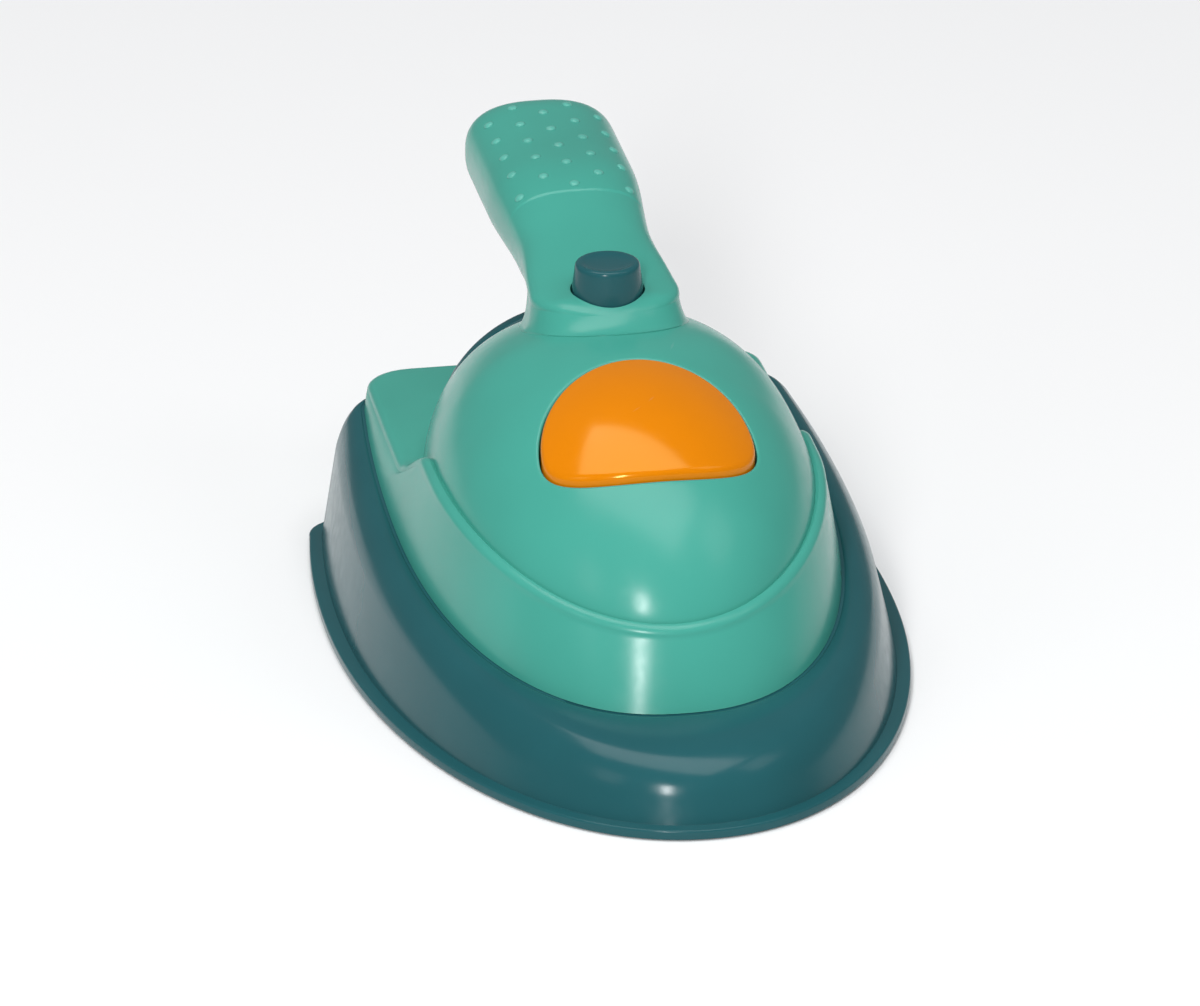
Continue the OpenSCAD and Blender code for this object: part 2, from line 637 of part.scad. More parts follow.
// Button springs: one helix of round wire, standing on seat_z
coil_gap = 0.8;
coil_d = stem_d + 2 * coil_gap + wire_d;
curl_rings = 8;
wire_sides = 6;
spring_touch = 0.05;
module coil(length) {
    rise = length - wire_d - 2 * spring_touch;
    count = curls * curl_rings;
    slope = atan2(rise / curls, PI * coil_d);
    loft([for (i = [0:count]) let (t = 360 * i / curl_rings, z = spring_touch + wire_d / 2 + rise * i / count)
        [for (j = [0:wire_sides - 1])
            let (a = -360 * j / wire_sides, r = (coil_d + wire_d * cos(a)) / 2, b = wire_d / 2 * sin(a))
            [r * cos(t) + b * sin(slope) * sin(t), r * sin(t) - b * sin(slope) * cos(t),
                z + b * cos(slope)]]]);
    echo(least_spring_gap = rise / curls * cos(slope) - wire_d);
}
module steam_spring() color(steel) place() translate([0, bracket_y, bracket_z + bracket_t])
    coil(spring_room);
module handle_spring() color(steel) place() translate([0, knob_y, plug_floor_z])
    coil(lug_z - plug_floor_z);

// Fasteners: pan-head screws, drawn with the head below and the shank upwards

head_edge = 0.5;
// Length that each kind of screw bites into its boss, and the bore left beyond its tip
sole_bite = 10;
heel_bite = 6.6;
root_bite = 7;
cover_bite = 6;
bracket_bite = 6;
bore_spare = 1;
module screw(length) {
    translate([0, 0, -screw_head_h]) rotate_extrude() polygon([[0, 0], [screw_head_d / 2 - head_edge, 0],
        [screw_head_d / 2, head_edge], [screw_head_d / 2, screw_head_h], [0, screw_head_h]]);
    translate([0, 0, -screw_head_h / 2]) cylinder(d = screw_d, h = length + screw_head_h / 2);
}
module sole_screws() color(steel) place() for (p = sole_screw_at)
    translate([p[0], p[1], head_sunk]) screw(web_t + sole_bite);
module heel_screws() color(steel) place() for (x = [-1, 1])
    translate([x * heel_screw_x, heel_y + heel_t - screw_head_h, heel_screw_z]) rotate([90, 0, 0])
        screw(heel_t - screw_head_h + heel_bite);
module handle_screws() color(steel) place() for (side = [-1, 1])
    translate([root_screw_at(side)[0], root_screw_at(side)[1], plug_floor_z - floor_t])
        screw(floor_t + root_bite);
module cover_screws() color(steel) place() for (y = cover_screw_at)
    translate([0, y, cover_z + cover_t - cover_web]) screw(cover_web + cover_bite);
module bracket_screws() color(steel) place() for (x = [-1, 1])
    translate([x * bracket_screw_x, bracket_y, bracket_z]) screw(bracket_t + bracket_bite);

sole_plate();
base_skirt();
body_shell();
heel_cap();
handle_shell();
handle_cover();
steam_button();
steam_spring();
spring_bracket();
handle_button();
handle_spring();
sole_screws();
heel_screws();
handle_screws();
cover_screws();
bracket_screws();
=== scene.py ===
from math import atan2, cos, pi, radians, sin, sqrt

import bmesh
import bpy
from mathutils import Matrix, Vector


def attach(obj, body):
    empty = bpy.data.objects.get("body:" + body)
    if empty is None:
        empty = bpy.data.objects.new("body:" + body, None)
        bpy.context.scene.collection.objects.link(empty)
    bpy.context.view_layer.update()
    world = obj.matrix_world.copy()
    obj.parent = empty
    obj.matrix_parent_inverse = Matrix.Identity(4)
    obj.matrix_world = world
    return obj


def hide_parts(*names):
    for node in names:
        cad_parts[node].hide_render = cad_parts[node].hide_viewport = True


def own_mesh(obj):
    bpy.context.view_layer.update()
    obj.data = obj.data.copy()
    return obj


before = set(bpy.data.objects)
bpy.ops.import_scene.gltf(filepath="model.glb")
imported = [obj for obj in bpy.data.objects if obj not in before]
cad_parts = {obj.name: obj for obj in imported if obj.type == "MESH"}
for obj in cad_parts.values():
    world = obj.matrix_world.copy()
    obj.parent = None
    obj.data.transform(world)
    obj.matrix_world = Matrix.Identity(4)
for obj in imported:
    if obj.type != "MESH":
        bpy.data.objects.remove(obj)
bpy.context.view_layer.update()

# Sole plate: the flat bottom of the iron, injection moulded in dark teal plastic.
# It shows as a thin rounded lip round the skirt. Five standoffs take the screws that hold the iron together,
# and a row of blind dimples on its face plays the steam holes. All sizes in this file are in millimetres.
MM = 0.001
TINY = 1e-6
STATION_Y = 12.5
SOLE_HALF_W, SOLE_NOSE, SOLE_TAIL = 55.5, 110.0, 57.0
SOLE_POWER, SOLE_SEMI, REAR_CORNER = 2.05, 130.0, 8.0
SOLE_T = 2.0
LIP_EDGE = 0.45
NOSE_STEPS, SIDE_STEPS, CORNER_STEPS, REAR_STEPS = 44, 42, 8, 12
SHARP_ANGLE = 32.0
RECESS_D, STANDOFF_D, STANDOFF_TOP, HEAD_SUNK = 6.0, 9.2, 9.0, 6.8
SCREW_HOLE_D = 3.0
CUT_PAST = 1.0
DIMPLE_D, DIMPLE_DEPTH, DIMPLE_IN, DIMPLE_ARC, DIMPLES = 3.0, 0.8, 19.0, 70.0, 13
SOLE_SCREWS = [(0.0, -66.0), (-35.7, -12.0), (35.7, -12.0), (-34.0, 41.0), (34.0, 41.0)]
DARK_TEAL = (0.0155, 0.096, 0.110)


def point(x, y, z):
    """A place on the iron in millimetres, with y from the sole's widest station, as a point of the frame."""
    return Vector((x * MM, (y + STATION_Y) * MM, z * MM))


def plan(half_w, y_wide, nose, tail, power, semi):
    """Outline from above: superellipse nose, slowly tapering sides, round rear corners and a straight rear edge."""
    side = tail - REAR_CORNER
    rear = half_w * sqrt(1 - (side / semi) ** 2)
    half = []
    for i in range(NOSE_STEPS + 1):
        t = pi / 2 * i / NOSE_STEPS
        half.append((half_w * sin(t) ** (2 / power), y_wide - nose * max(cos(t), 0) ** (2 / power)))
    for i in range(1, SIDE_STEPS + 1):
        v = side * i / SIDE_STEPS
        half.append((half_w * sqrt(1 - (v / semi) ** 2), y_wide + v))
    for i in range(1, CORNER_STEPS + 1):
        t = pi / 2 * i / CORNER_STEPS
        half.append((rear - REAR_CORNER + REAR_CORNER * cos(t), y_wide + side + REAR_CORNER * sin(t)))
    for i in range(1, REAR_STEPS + 1):
        half.append(((rear - REAR_CORNER) * (1 - i / REAR_STEPS), y_wide + tail))
    return half + [(-x, y) for x, y in reversed(half[1:-1])]


def sole_plan(inset, tail_inset):
    return plan(SOLE_HALF_W - inset, 0.0, SOLE_NOSE - inset, SOLE_TAIL - tail_inset, SOLE_POWER, SOLE_SEMI)


def take(piece):
    """Makes one piece the only selected and active one."""
    bpy.ops.object.select_all(action="DESELECT")
    piece.select_set(True)
    bpy.context.view_layer.objects.active = piece


def added(name):
    """Names the primitive that was just added and puts its place into its mesh."""
    piece = bpy.context.object
    piece.name = piece.data.name = name
    bpy.ops.object.transform_apply(location=True, rotation=True, scale=True)
    return piece


def outward(piece):
    """Turns the faces outwards and shades the piece smooth up to its real edges."""
    take(piece)
    bpy.ops.object.mode_set(mode="EDIT")
    bpy.ops.mesh.select_all(action="SELECT")
    bpy.ops.mesh.normals_make_consistent(inside=False)
    bpy.ops.object.mode_set(mode="OBJECT")
    bpy.ops.object.shade_smooth_by_angle(angle=radians(SHARP_ANGLE))


def plate(name, corners, rise, edge, on_rim):
    """Fills an outline, extrudes it by rise and rounds the rims whose edges pass on_rim."""
    bpy.ops.object.select_all(action="DESELECT")
    bpy.ops.mesh.primitive_circle_add(vertices=len(corners), radius=1, fill_type="NGON")
    piece = added(name)
    for vertex, corner in zip(piece.data.vertices, corners):
        vertex.co = corner
    bpy.ops.object.mode_set(mode="EDIT")
    bpy.ops.mesh.select_all(action="SELECT")
    bpy.ops.mesh.extrude_region_move(TRANSFORM_OT_translate={"value": rise})
    bpy.ops.mesh.select_all(action="SELECT")
    bpy.ops.mesh.normals_make_consistent(inside=False)
    bpy.ops.mesh.select_mode(type="EDGE")
    bpy.ops.mesh.select_all(action="DESELECT")
    shape = bmesh.from_edit_mesh(piece.data)
    for line in shape.edges:
        line.select_set(on_rim(line.verts[0].co, line.verts[1].co))
    bmesh.update_edit_mesh(piece.data)
    if edge:
        bpy.ops.mesh.bevel(offset=edge * MM, segments=4, profile=0.5)
    bpy.ops.object.mode_set(mode="OBJECT")
    return piece


def rod(diameter, low, high, x, y, sides=40):
    """Upright cylinder between two heights."""
    bpy.ops.object.select_all(action="DESELECT")
    bpy.ops.mesh.primitive_cylinder_add(vertices=sides, radius=diameter / 2 * MM, depth=(high - low) * MM,
                                        location=point(x, y, (low + high) / 2))
    return added("rod")


def joined(pieces):
    """One piece of several loose ones."""
    bpy.ops.object.select_all(action="DESELECT")
    for piece in pieces:
        piece.select_set(True)
    bpy.context.view_layer.objects.active = pieces[0]
    if len(pieces) > 1:
        bpy.ops.object.join()
    return pieces[0]


def carve(piece, tool, operation="DIFFERENCE"):
    """Cuts a tool out of a piece, or fuses it on, and removes the tool."""
    take(piece)
    bpy.ops.object.modifier_add(type="BOOLEAN")
    cut = piece.modifiers[-1]
    cut.operation = operation
    cut.solver = "EXACT"
    cut.object = tool
    bpy.ops.object.modifier_apply(modifier=cut.name)
    bpy.data.objects.remove(tool)


def mould_finish(name, colour, gloss, drift, shine):
    """Glossy moulded plastic: slow drift of shade, fine change of gloss, faint flow waves and paler convex edges, a
    painted edge highlight.
    """
    finish = bpy.data.materials.new(name)
    finish.use_nodes = True
    nodes, links = finish.node_tree.nodes, finish.node_tree.links
    shader = nodes["Principled BSDF"]
    place = nodes.new("ShaderNodeTexCoord")

    def noise(scale, detail):
        field = nodes.new("ShaderNodeTexNoise")
        field.inputs["Scale"].default_value = scale
        field.inputs["Detail"].default_value = detail
        links.new(place.outputs["Object"], field.inputs["Vector"])
        return field.outputs["Fac"]

    def spread(source, low, high, start=0.3, stop=0.7):
        rule = nodes.new("ShaderNodeMapRange")
        rule.inputs["From Min"].default_value = start
        rule.inputs["From Max"].default_value = stop
        rule.inputs["To Min"].default_value = low
        rule.inputs["To Max"].default_value = high
        links.new(source, rule.inputs["Value"])
        return rule.outputs["Result"]

    shade = nodes.new("ShaderNodeMix")
    shade.data_type = "RGBA"
    shade.inputs["A"].default_value = [c * (1 - drift) for c in colour] + [1]
    shade.inputs["B"].default_value = [min(c * (1 + drift), 1) for c in colour] + [1]
    links.new(spread(noise(38.0, 2.0), 0.0, 1.0), shade.inputs["Factor"])
    # Convex edges and bumps, found by pointiness, are mixed towards a paler colour: a painted highlight where edges
    # catch the light.
    relief = nodes.new("ShaderNodeNewGeometry")
    painted_edge_highlight = nodes.new("ShaderNodeMix")
    painted_edge_highlight.data_type = "RGBA"
    painted_edge_highlight.inputs["B"].default_value = [c * 0.75 + 0.13 for c in colour] + [1]
    links.new(spread(relief.outputs["Pointiness"], 0.0, 0.30, 0.58, 0.66), painted_edge_highlight.inputs["Factor"])
    links.new(shade.outputs["Result"], painted_edge_highlight.inputs["A"])
    links.new(painted_edge_highlight.outputs["Result"], shader.inputs["Base Color"])
    links.new(spread(noise(420.0, 3.0), gloss - 0.03, gloss + 0.03), shader.inputs["Roughness"])
    waves = nodes.new("ShaderNodeBump")
    waves.inputs["Strength"].default_value = 0.010
    waves.inputs["Distance"].default_value = 0.0003
    links.new(noise(110.0, 1.0), waves.inputs["Height"])
    links.new(waves.outputs["Normal"], shader.inputs["Normal"])
    shader.inputs["IOR"].default_value = 1.5
    shader.inputs["Specular IOR Level"].default_value = shine
    return finish


def dress(piece, finish, body, slot, *nodes):
    """Gives a finished piece its plastic or steel and its body, and hides the nodes that it stands for; slot is not
    used.
    """
    piece.data.materials.clear()
    piece.data.materials.append(finish)
    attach(piece, body)
    if nodes:
        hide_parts(*nodes)


dark_plastic = mould_finish("dark_plastic", DARK_TEAL, 0.20, 0.05, 0.22)

sole = plate("sole", [point(x, y, 0) for x, y in sole_plan(0, 0)], (0, 0, SOLE_T * MM), LIP_EDGE,
             lambda a, b: abs(a.z - b.z) < TINY)
carve(sole, joined([rod(STANDOFF_D, SOLE_T / 2, STANDOFF_TOP, x, y) for x, y in SOLE_SCREWS]), "UNION")
sole_cuts = [rod(RECESS_D, -CUT_PAST, HEAD_SUNK, x, y) for x, y in SOLE_SCREWS]
for i in range(DIMPLES):
    t = radians(-DIMPLE_ARC + 2 * DIMPLE_ARC * i / (DIMPLES - 1))
    x, y = (SOLE_HALF_W - DIMPLE_IN) * sin(t), (DIMPLE_IN - SOLE_NOSE) * cos(t)
    sole_cuts.append(rod(DIMPLE_D, -CUT_PAST, DIMPLE_DEPTH, x, y))
carve(sole, joined(sole_cuts))
carve(sole, joined([rod(SCREW_HOLE_D, HEAD_SUNK - CUT_PAST, STANDOFF_TOP + CUT_PAST, x, y) for x, y in SOLE_SCREWS]))
outward(sole)
dress(sole, dark_plastic, "iron", "dark_plastic", "sole_plate")


# Skirt: one moulded ring of the same dark plastic, clamped between the sole and the body.
# Its wall leans in to a crease that rises towards the back and softens round the nose; above the crease a
# crowned shoulder climbs to the seam with the body.
LIP_W = 2.7
RIM_LEAN = 3.5
RIM_NOSE_Z, RIM_TAIL_Z, RIM_LOW = 11.0, 23.0, 0.2
SEAM_HALF_W, SEAM_Y, SEAM_NOSE, SEAM_TAIL = 42.5, 5.4, 88.9, 50.2
SEAM_POWER, SEAM_SEMI = 2.3, 134.0
SEAM_NOSE_Z, SEAM_TAIL_Z = 15.0, 28.4
SEAM_STEP, SEAM_LOW = 0.6, 0.1
SHOULDER_CROWN, SHOULDER_END = 1.7, 0.97
CREASE_NOSE, CREASE_SIDE, CREASE_FADE, CREASE_SHARE = 6.5, 1.7, 80.0, 0.45
SKIRT_WALL = 2.4
SKIRT_STEPS, CREASE_STEPS, SHOULDER_STEPS = 8, 12, 16


def mix(a, b, t):
    return a + (b - a) * t


def ease(t):
    t = min(max(t, 0.0), 1.0)
    return t * t * (3 - 2 * t)


def seam_plan(inset):
    return plan(SEAM_HALF_W - inset, SEAM_Y, SEAM_NOSE - inset, SEAM_TAIL - inset, SEAM_POWER, SEAM_SEMI)


def seam_z(y):
    return mix(SEAM_NOSE_Z, SEAM_TAIL_Z, (y - SEAM_Y + SEAM_NOSE) / (SEAM_NOSE + SEAM_TAIL))


def rim_z(y):
    return mix(RIM_NOSE_Z, RIM_TAIL_Z, (y + SOLE_NOSE) / (SOLE_NOSE + SOLE_TAIL))


def skin(name, rows, closed):
    """Wraps a grid round the piece, one row of the grid for each ring of places, and sews its seams together."""
    around = len(rows[0])
    rings = rows + [rows[0]] if closed else rows
    bpy.ops.object.select_all(action="DESELECT")
    bpy.ops.mesh.primitive_grid_add(x_subdivisions=around, y_subdivisions=len(rings) - 1, size=1)
    piece = added(name)
    for k, vertex in enumerate(piece.data.vertices):
        vertex.co = point(*rings[k // (around + 1)][k % (around + 1) % around])
    bpy.ops.object.mode_set(mode="EDIT")
    bpy.ops.mesh.select_all(action="SELECT")
    bpy.ops.mesh.remove_doubles(threshold=TINY)
    bpy.ops.object.mode_set(mode="OBJECT")
    outward(piece)
    return piece


def bent(a, b, c, t):
    """Place on the curve that leaves a towards b and arrives at c."""
    return (a * (1 - t) + b * t) * (1 - t) + (b * (1 - t) + c * t) * t


def skirt_profile(foot, crease, seam, inner_foot, inner_crease, inner_seam):
    """One upright cut through the skirt, from its foot over the crease to the seam and back inside."""
    crown = (crease + seam) / 2 + Vector((0, 0, 2 * SHOULDER_CROWN))
    turn = mix(CREASE_NOSE, CREASE_SIDE, ease((foot.y + SOLE_NOSE) / CREASE_FADE))
    turn = min(turn, CREASE_SHARE * (crease - foot).length)
    leave = crease + (foot - crease).normalized() * turn
    land_at = min(0.5, turn / (seam - crease).length)
    land = bent(crease, crown, seam, land_at)
    cut = [foot + (leave - foot) * (i / SKIRT_STEPS) for i in range(SKIRT_STEPS)]
    cut += [bent(leave, crease, land, i / CREASE_STEPS) for i in range(CREASE_STEPS)]
    cut += [bent(crease, crown, seam, mix(land_at, SHOULDER_END, i / SHOULDER_STEPS))
            for i in range(SHOULDER_STEPS + 1)]
    cut += [seam + Vector((0, 0, -SEAM_LOW)), inner_seam, inner_crease, inner_foot]
    return cut


skirt_rings = list(zip(*[
    skirt_profile(*(Vector((x, y, z(y))) for (x, y), z in cut))
    for cut in zip(*[[(place, z) for place in ring] for ring, z in (
        (sole_plan(LIP_W, LIP_W), lambda y: SOLE_T),
        (sole_plan(LIP_W + RIM_LEAN, LIP_W), lambda y: rim_z(y) - RIM_LOW),
        (seam_plan(-SEAM_STEP), seam_z),
        (sole_plan(LIP_W + SKIRT_WALL, LIP_W + SKIRT_WALL), lambda y: SOLE_T),
        (sole_plan(LIP_W + RIM_LEAN + SKIRT_WALL, LIP_W + SKIRT_WALL), lambda y: rim_z(y) - SKIRT_WALL),
        (seam_plan(SKIRT_WALL - SEAM_STEP), lambda y: seam_z(y) - SEAM_LOW))])]))
skirt = skin("skirt", [list(ring) for ring in skirt_rings], True)
dress(skirt, dark_plastic, "iron", "dark_plastic", "base_skirt")


# Body shell: one thin-walled moulding of light teal plastic, screwed to the sole from below. A wall rises from the
# seam to a rounded ridge; behind the ridge a crease runs round a long dome, and the ridge falls away to a flat ledge
# at the back. The dome is open for the steam button and has a sunk seat, with two stop posts, for the handle's root.
LIGHT_TEAL = (0.060, 0.355, 0.284)
DOME_Y, DOME_FOOT, DOME_TOP = -16.2, 29.2, 64.8
DOME_W, DOME_NOSE, DOME_TAIL = 37.7, 59.4, 71.0
DOME_LONG_POWER, DOME_WIDE_POWER = 1.4, 1.0
DOME_FULL, FULL_FROM, FULL_TO, FULL_FADE = 1.9, -25.0, 14.0, 20.0
CORE_Y = -10.0
RIDGE_HALF_W, RIDGE_NOSE, RIDGE_TAIL, RIDGE_POWER, RIDGE_SEMI = 38.0, 61.0, 74.6, 2.0, 330.0
RIDGE_PEAK_Y, RIDGE_PEAK_Z, RIDGE_NOSE_Z, RIDGE_BEND, RIDGE_PAST = -19.0, 40.0, 30.0, 1.6, 1.05
RIDGE_ROUND, RIDGE_OUT, RIDGE_FALL = 1.3, 0.4, 1.56
LEDGE_Z, LEDGE_OUT, FALL_START, LEDGE_START = 32.4, 1.6, -9.0, 10.0
CREASE_DROP, DROP_END, DROP_FADE = 0.35, -5.0, 20.0
BODY_WALL, WALL_BULGE, INNER_IN, INNER_STEP = 2.4, 0.5, 3.6, 0.2
HEEL_Y, FLAT_SHARE = 40.0, 0.607
STEAM_Y, STEAM_W, STEAM_BACK, STEAM_FRONT, STEAM_POWER = -44.33, 42.0, 20.03, 12.27, 2.05
COLLAR_Z, COLLAR_WALL, RIM_EDGE = 44.05, 1.8, 0.7
WALK_STEPS, HALVINGS, WALK_LEAST = 200, 30, 0.004
WALL_STEPS, RIDGE_STEPS, LEDGE_STEPS, DOME_STEPS, FLAT_STEPS, RIM_STEPS, INNER_STEPS = 16, 8, 4, 51, 5, 5, 12
STEM_HOLE_D = 6.4
KNOB_Y = 0.5
ROOT_SCREWS = [(-11.0, 8.0), (11.0, 8.0)]
ROOT_W, WAIST_W, GRIP_W = 30.0, 26.4, 29.8
WAIST_FROM, WAIST_LONG, GRIP_FROM, GRIP_LONG = -6.0, 34.0, 26.0, 28.0
HANDLE_FRONT, ROOT_BACK, ROOT_R, ROOT_Y = -8.8, 12.5, 2.5, 4.4
ROOT_FRONT_STEPS, ROOT_STEPS = 24, 8
SEAT_Z, SEAT_FLOOR, SEAT_Y, SEAT_PLAY, SEAT_LAP, SEAT_LIP = 57.3, 2.5, 2.0, 0.2, 0.6, 1.0
SEAT_UNDER, SEAT_RISE = 1.0, 0.1
POST_X, POST_D, POST_TOP, POST_SUNK = 8.2, 2.4, 62.9, 0.5
TOOL_LOW, TOOL_HIGH = 50.0, 80.0

light_plastic = mould_finish("light_plastic", LIGHT_TEAL, 0.24, 0.04, 0.28)


def dome_z(x, y, inset=0.0):
    """Height of the dome, which is a little fuller beside the handle; inset gives its inner face."""
    u = x / (DOME_W - inset)
    v = (y - DOME_Y) / ((DOME_NOSE if y < DOME_Y else DOME_TAIL) - inset)
    q = u * u + v * v
    power = mix(DOME_LONG_POWER, DOME_WIDE_POWER, u * u / q if q > TINY else 0.0)
    beside = ease((y - FULL_FROM) / FULL_FADE) * (1 - ease((y - FULL_TO) / FULL_FADE))
    full = DOME_FULL * max(4 * u * u * (1 - u * u), 0.0) * beside
    return DOME_FOOT + (DOME_TOP - DOME_FOOT - inset) * max(1 - q, 0.0) ** (power / 2) + full


def ledge_share(y):
    return ease((y - FALL_START) / (LEDGE_START - FALL_START))


def ridge_plan(inset):
    ring = plan(RIDGE_HALF_W - inset, DOME_Y, RIDGE_NOSE - inset, RIDGE_TAIL - inset, RIDGE_POWER, RIDGE_SEMI)
    return [(x * (1 + ledge_share(y) * LEDGE_OUT / RIDGE_HALF_W), y) for x, y in ring]


def ridge_z(y):
    if y < RIDGE_PEAK_Y:
        share = (RIDGE_PEAK_Y - y) / (RIDGE_PEAK_Y - DOME_Y + RIDGE_NOSE)
        return mix(RIDGE_PEAK_Z, RIDGE_NOSE_Z, min(share, RIDGE_PAST) ** RIDGE_BEND)
    return mix(RIDGE_PEAK_Z, LEDGE_Z, ledge_share(y))


def steam_edge(x, y, grow):
    """The place on the steam opening's outline that lies towards x, y from its widest station."""
    across, along = x, y - STEAM_Y
    reach = (STEAM_BACK if along > 0 else STEAM_FRONT) + grow
    power = 2.0 if along > 0 else STEAM_POWER
    size = ((abs(across) / (STEAM_W / 2 + grow)) ** power + (abs(along) / reach) ** power) ** (1 / power)
    return across / size, STEAM_Y + along / size


def crease_on_dome(start):
    """Walks inwards from the ridge to where the dome, or the flat behind it, comes up out of the ledge."""
    centre = Vector((0.0, CORE_Y))

    def level(y):
        return ridge_z(y) - CREASE_DROP * (1 - ease((y - DROP_END) / DROP_FADE))

    def on_dome(share):
        place = start.lerp(centre, share)
        return dome_z(place.x, place.y) >= level(place.y)

    low, high = 0.0, 1.0
    for i in range(1, WALK_STEPS + 1):
        if on_dome(i / WALK_STEPS):
            low, high = (i - 1) / WALK_STEPS, i / WALK_STEPS
            break
    for i in range(HALVINGS):
        middle = (low + high) / 2
        if on_dome(middle):
            high = middle
        else:
            low = middle
    place = start.lerp(centre, max(high, WALK_LEAST))
    flat_back = False
    if start.y > HEEL_Y:
        back = start.lerp(centre, (HEEL_Y - start.y) / (centre.y - start.y))
        flat_back = place.y > HEEL_Y or abs(back.x) < DOME_W * FLAT_SHARE
        place = back if flat_back else place
    return Vector((place.x, place.y, level(place.y))), flat_back


def body_profile(seam, ridge_low, ridge_in, seam_in, ridge_under):
    """One upright cut through the body: wall, ridge, crease, dome, steam rim, collar and the inside to the seam."""
    seam = Vector((seam[0], seam[1], seam_z(seam[1])))
    shoulder = Vector((ridge_low[0], ridge_low[1], ridge_z(ridge_low[1]) - RIDGE_FALL))
    cut = [seam.lerp(shoulder, i / WALL_STEPS) + Vector((0, 0, WALL_BULGE * sin(pi * i / WALL_STEPS)))
           for i in range(WALL_STEPS)]
    for i in range(RIDGE_STEPS + 1):
        a = pi / 2 * i / RIDGE_STEPS
        x = mix(ridge_low[0], ridge_in[0], 1 - cos(a))
        y = mix(ridge_low[1], ridge_in[1], 1 - cos(a))
        cut.append(Vector((x, y, ridge_z(y) - RIDGE_FALL * (1 - sin(a)))))
    crease, flat_back = crease_on_dome(Vector(ridge_in))
    top = cut[-1]
    cut += [top.lerp(crease, i / LEDGE_STEPS) for i in range(1, LEDGE_STEPS + 1)]
    rim_x, rim_y = steam_edge(crease.x, crease.y, RIM_EDGE)
    for i in range(1, DOME_STEPS + 1):
        if flat_back and i <= FLAT_STEPS:
            cut.append(Vector((crease.x, crease.y, mix(crease.z, dome_z(crease.x, crease.y), i / FLAT_STEPS))))
            continue
        share = 1 - cos(pi / 2 * i / DOME_STEPS)
        x, y = mix(crease.x, rim_x, share), mix(crease.y, rim_y, share)
        cut.append(Vector((x, y, max(dome_z(x, y), crease.z))))
    for i in range(1, RIM_STEPS + 1):
        a = pi / 2 * i / RIM_STEPS
        x, y = steam_edge(crease.x, crease.y, RIM_EDGE * (1 - sin(a)))
        cut.append(Vector((x, y, dome_z(x, y) - RIM_EDGE * (1 - cos(a)))))
    for grow in (0.0, COLLAR_WALL):
        x, y = steam_edge(crease.x, crease.y, grow)
        cut.append(Vector((x, y, COLLAR_Z)))
    foot = Vector((crease.x, crease.y))
    inner = foot + (Vector((0.0, CORE_Y)) - foot).normalized() * INNER_IN
    for i in range(INNER_STEPS + 1):
        share = sin(pi / 2 * i / INNER_STEPS)
        px, py = mix(x, inner.x, share), mix(y, inner.y, share)
        lowest = crease.z - BODY_WALL if i else COLLAR_Z + INNER_STEP
        cut.append(Vector((px, py, max(dome_z(px, py, BODY_WALL), lowest))))
    cut.append(Vector((inner.x, inner.y, crease.z - BODY_WALL - INNER_STEP)))
    cut.append(Vector((ridge_under[0], ridge_under[1], ridge_z(ridge_under[1]) - BODY_WALL - 2 * INNER_STEP)))
    cut.append(Vector((seam_in[0], seam_in[1], seam_z(seam_in[1]))))
    return cut


def handle_half_w(y):
    """Half the handle's width, from its root over the waist to the grip."""
    y = max(y, ROOT_Y)
    waist = mix(ROOT_W, WAIST_W, ease((y - WAIST_FROM) / WAIST_LONG)) / 2
    return waist + (GRIP_W - WAIST_W) / 2 * ease((y - GRIP_FROM) / GRIP_LONG)


def root_line():
    """Outline of the handle's root from above, each place with the direction that leads out of it."""
    wide, long = handle_half_w(ROOT_Y), ROOT_Y - HANDLE_FRONT
    half = []
    for i in range(ROOT_FRONT_STEPS + 1):
        t = pi / 2 * i / ROOT_FRONT_STEPS
        out = Vector((sin(t) / wide, -cos(t) / long)).normalized()
        half.append((wide * sin(t), ROOT_Y - long * cos(t), out.x, out.y))
    for i in range(1, ROOT_STEPS):
        y = mix(ROOT_Y, ROOT_BACK - ROOT_R, i / ROOT_STEPS)
        half.append((handle_half_w(y), y, 1.0, 0.0))
    back_w = handle_half_w(ROOT_BACK - ROOT_R)
    for i in range(ROOT_STEPS + 1):
        t = pi / 2 * i / ROOT_STEPS
        half.append((back_w - ROOT_R + ROOT_R * cos(t), ROOT_BACK - ROOT_R + ROOT_R * sin(t), cos(t), sin(t)))
    half += [((back_w - ROOT_R) * (1 - i / ROOT_STEPS), ROOT_BACK, 0.0, 1.0) for i in range(1, ROOT_STEPS + 1)]
    return half + [(-x, y, -across, along) for x, y, across, along in reversed(half[1:-1])]


def seat_ring(grow, z=None):
    """Ring round the handle's root, grown outwards, at a height or just under the dome's surface."""
    ring = []
    for x, y, across, along in root_line():
        px, py = x + across * grow, y + along * grow
        ring.append((px, py, max(dome_z(px, py) - SEAT_UNDER, SEAT_Z + SEAT_RISE) if z is None else z))
    return ring


def hub(y, z):
    """A ring of the root drawn together to one place on the iron's middle, which closes its face there."""
    return [(0.0, y, z)] * len(root_line())


body_rings = list(zip(*[body_profile(*cut) for cut in zip(
    seam_plan(0), ridge_plan(-RIDGE_OUT), ridge_plan(RIDGE_ROUND), seam_plan(BODY_WALL),
    ridge_plan(RIDGE_ROUND + BODY_WALL))]))
body = skin("body", [list(ring) for ring in body_rings], True)
carve(body, skin("seat_cut", [hub(SEAT_Y, TOOL_LOW), seat_ring(-SEAT_PLAY, TOOL_LOW),
                              seat_ring(-SEAT_PLAY, TOOL_HIGH), hub(SEAT_Y, TOOL_HIGH)], False))
seat = skin("seat", [hub(SEAT_Y, SEAT_Z - SEAT_FLOOR), seat_ring(SEAT_LAP, SEAT_Z - SEAT_FLOOR), seat_ring(SEAT_LAP),
                     seat_ring(-SEAT_LIP), seat_ring(-SEAT_LIP, SEAT_Z), hub(SEAT_Y, SEAT_Z)], False)
carve(seat, rod(STEM_HOLE_D, TOOL_LOW, TOOL_HIGH, 0, KNOB_Y))
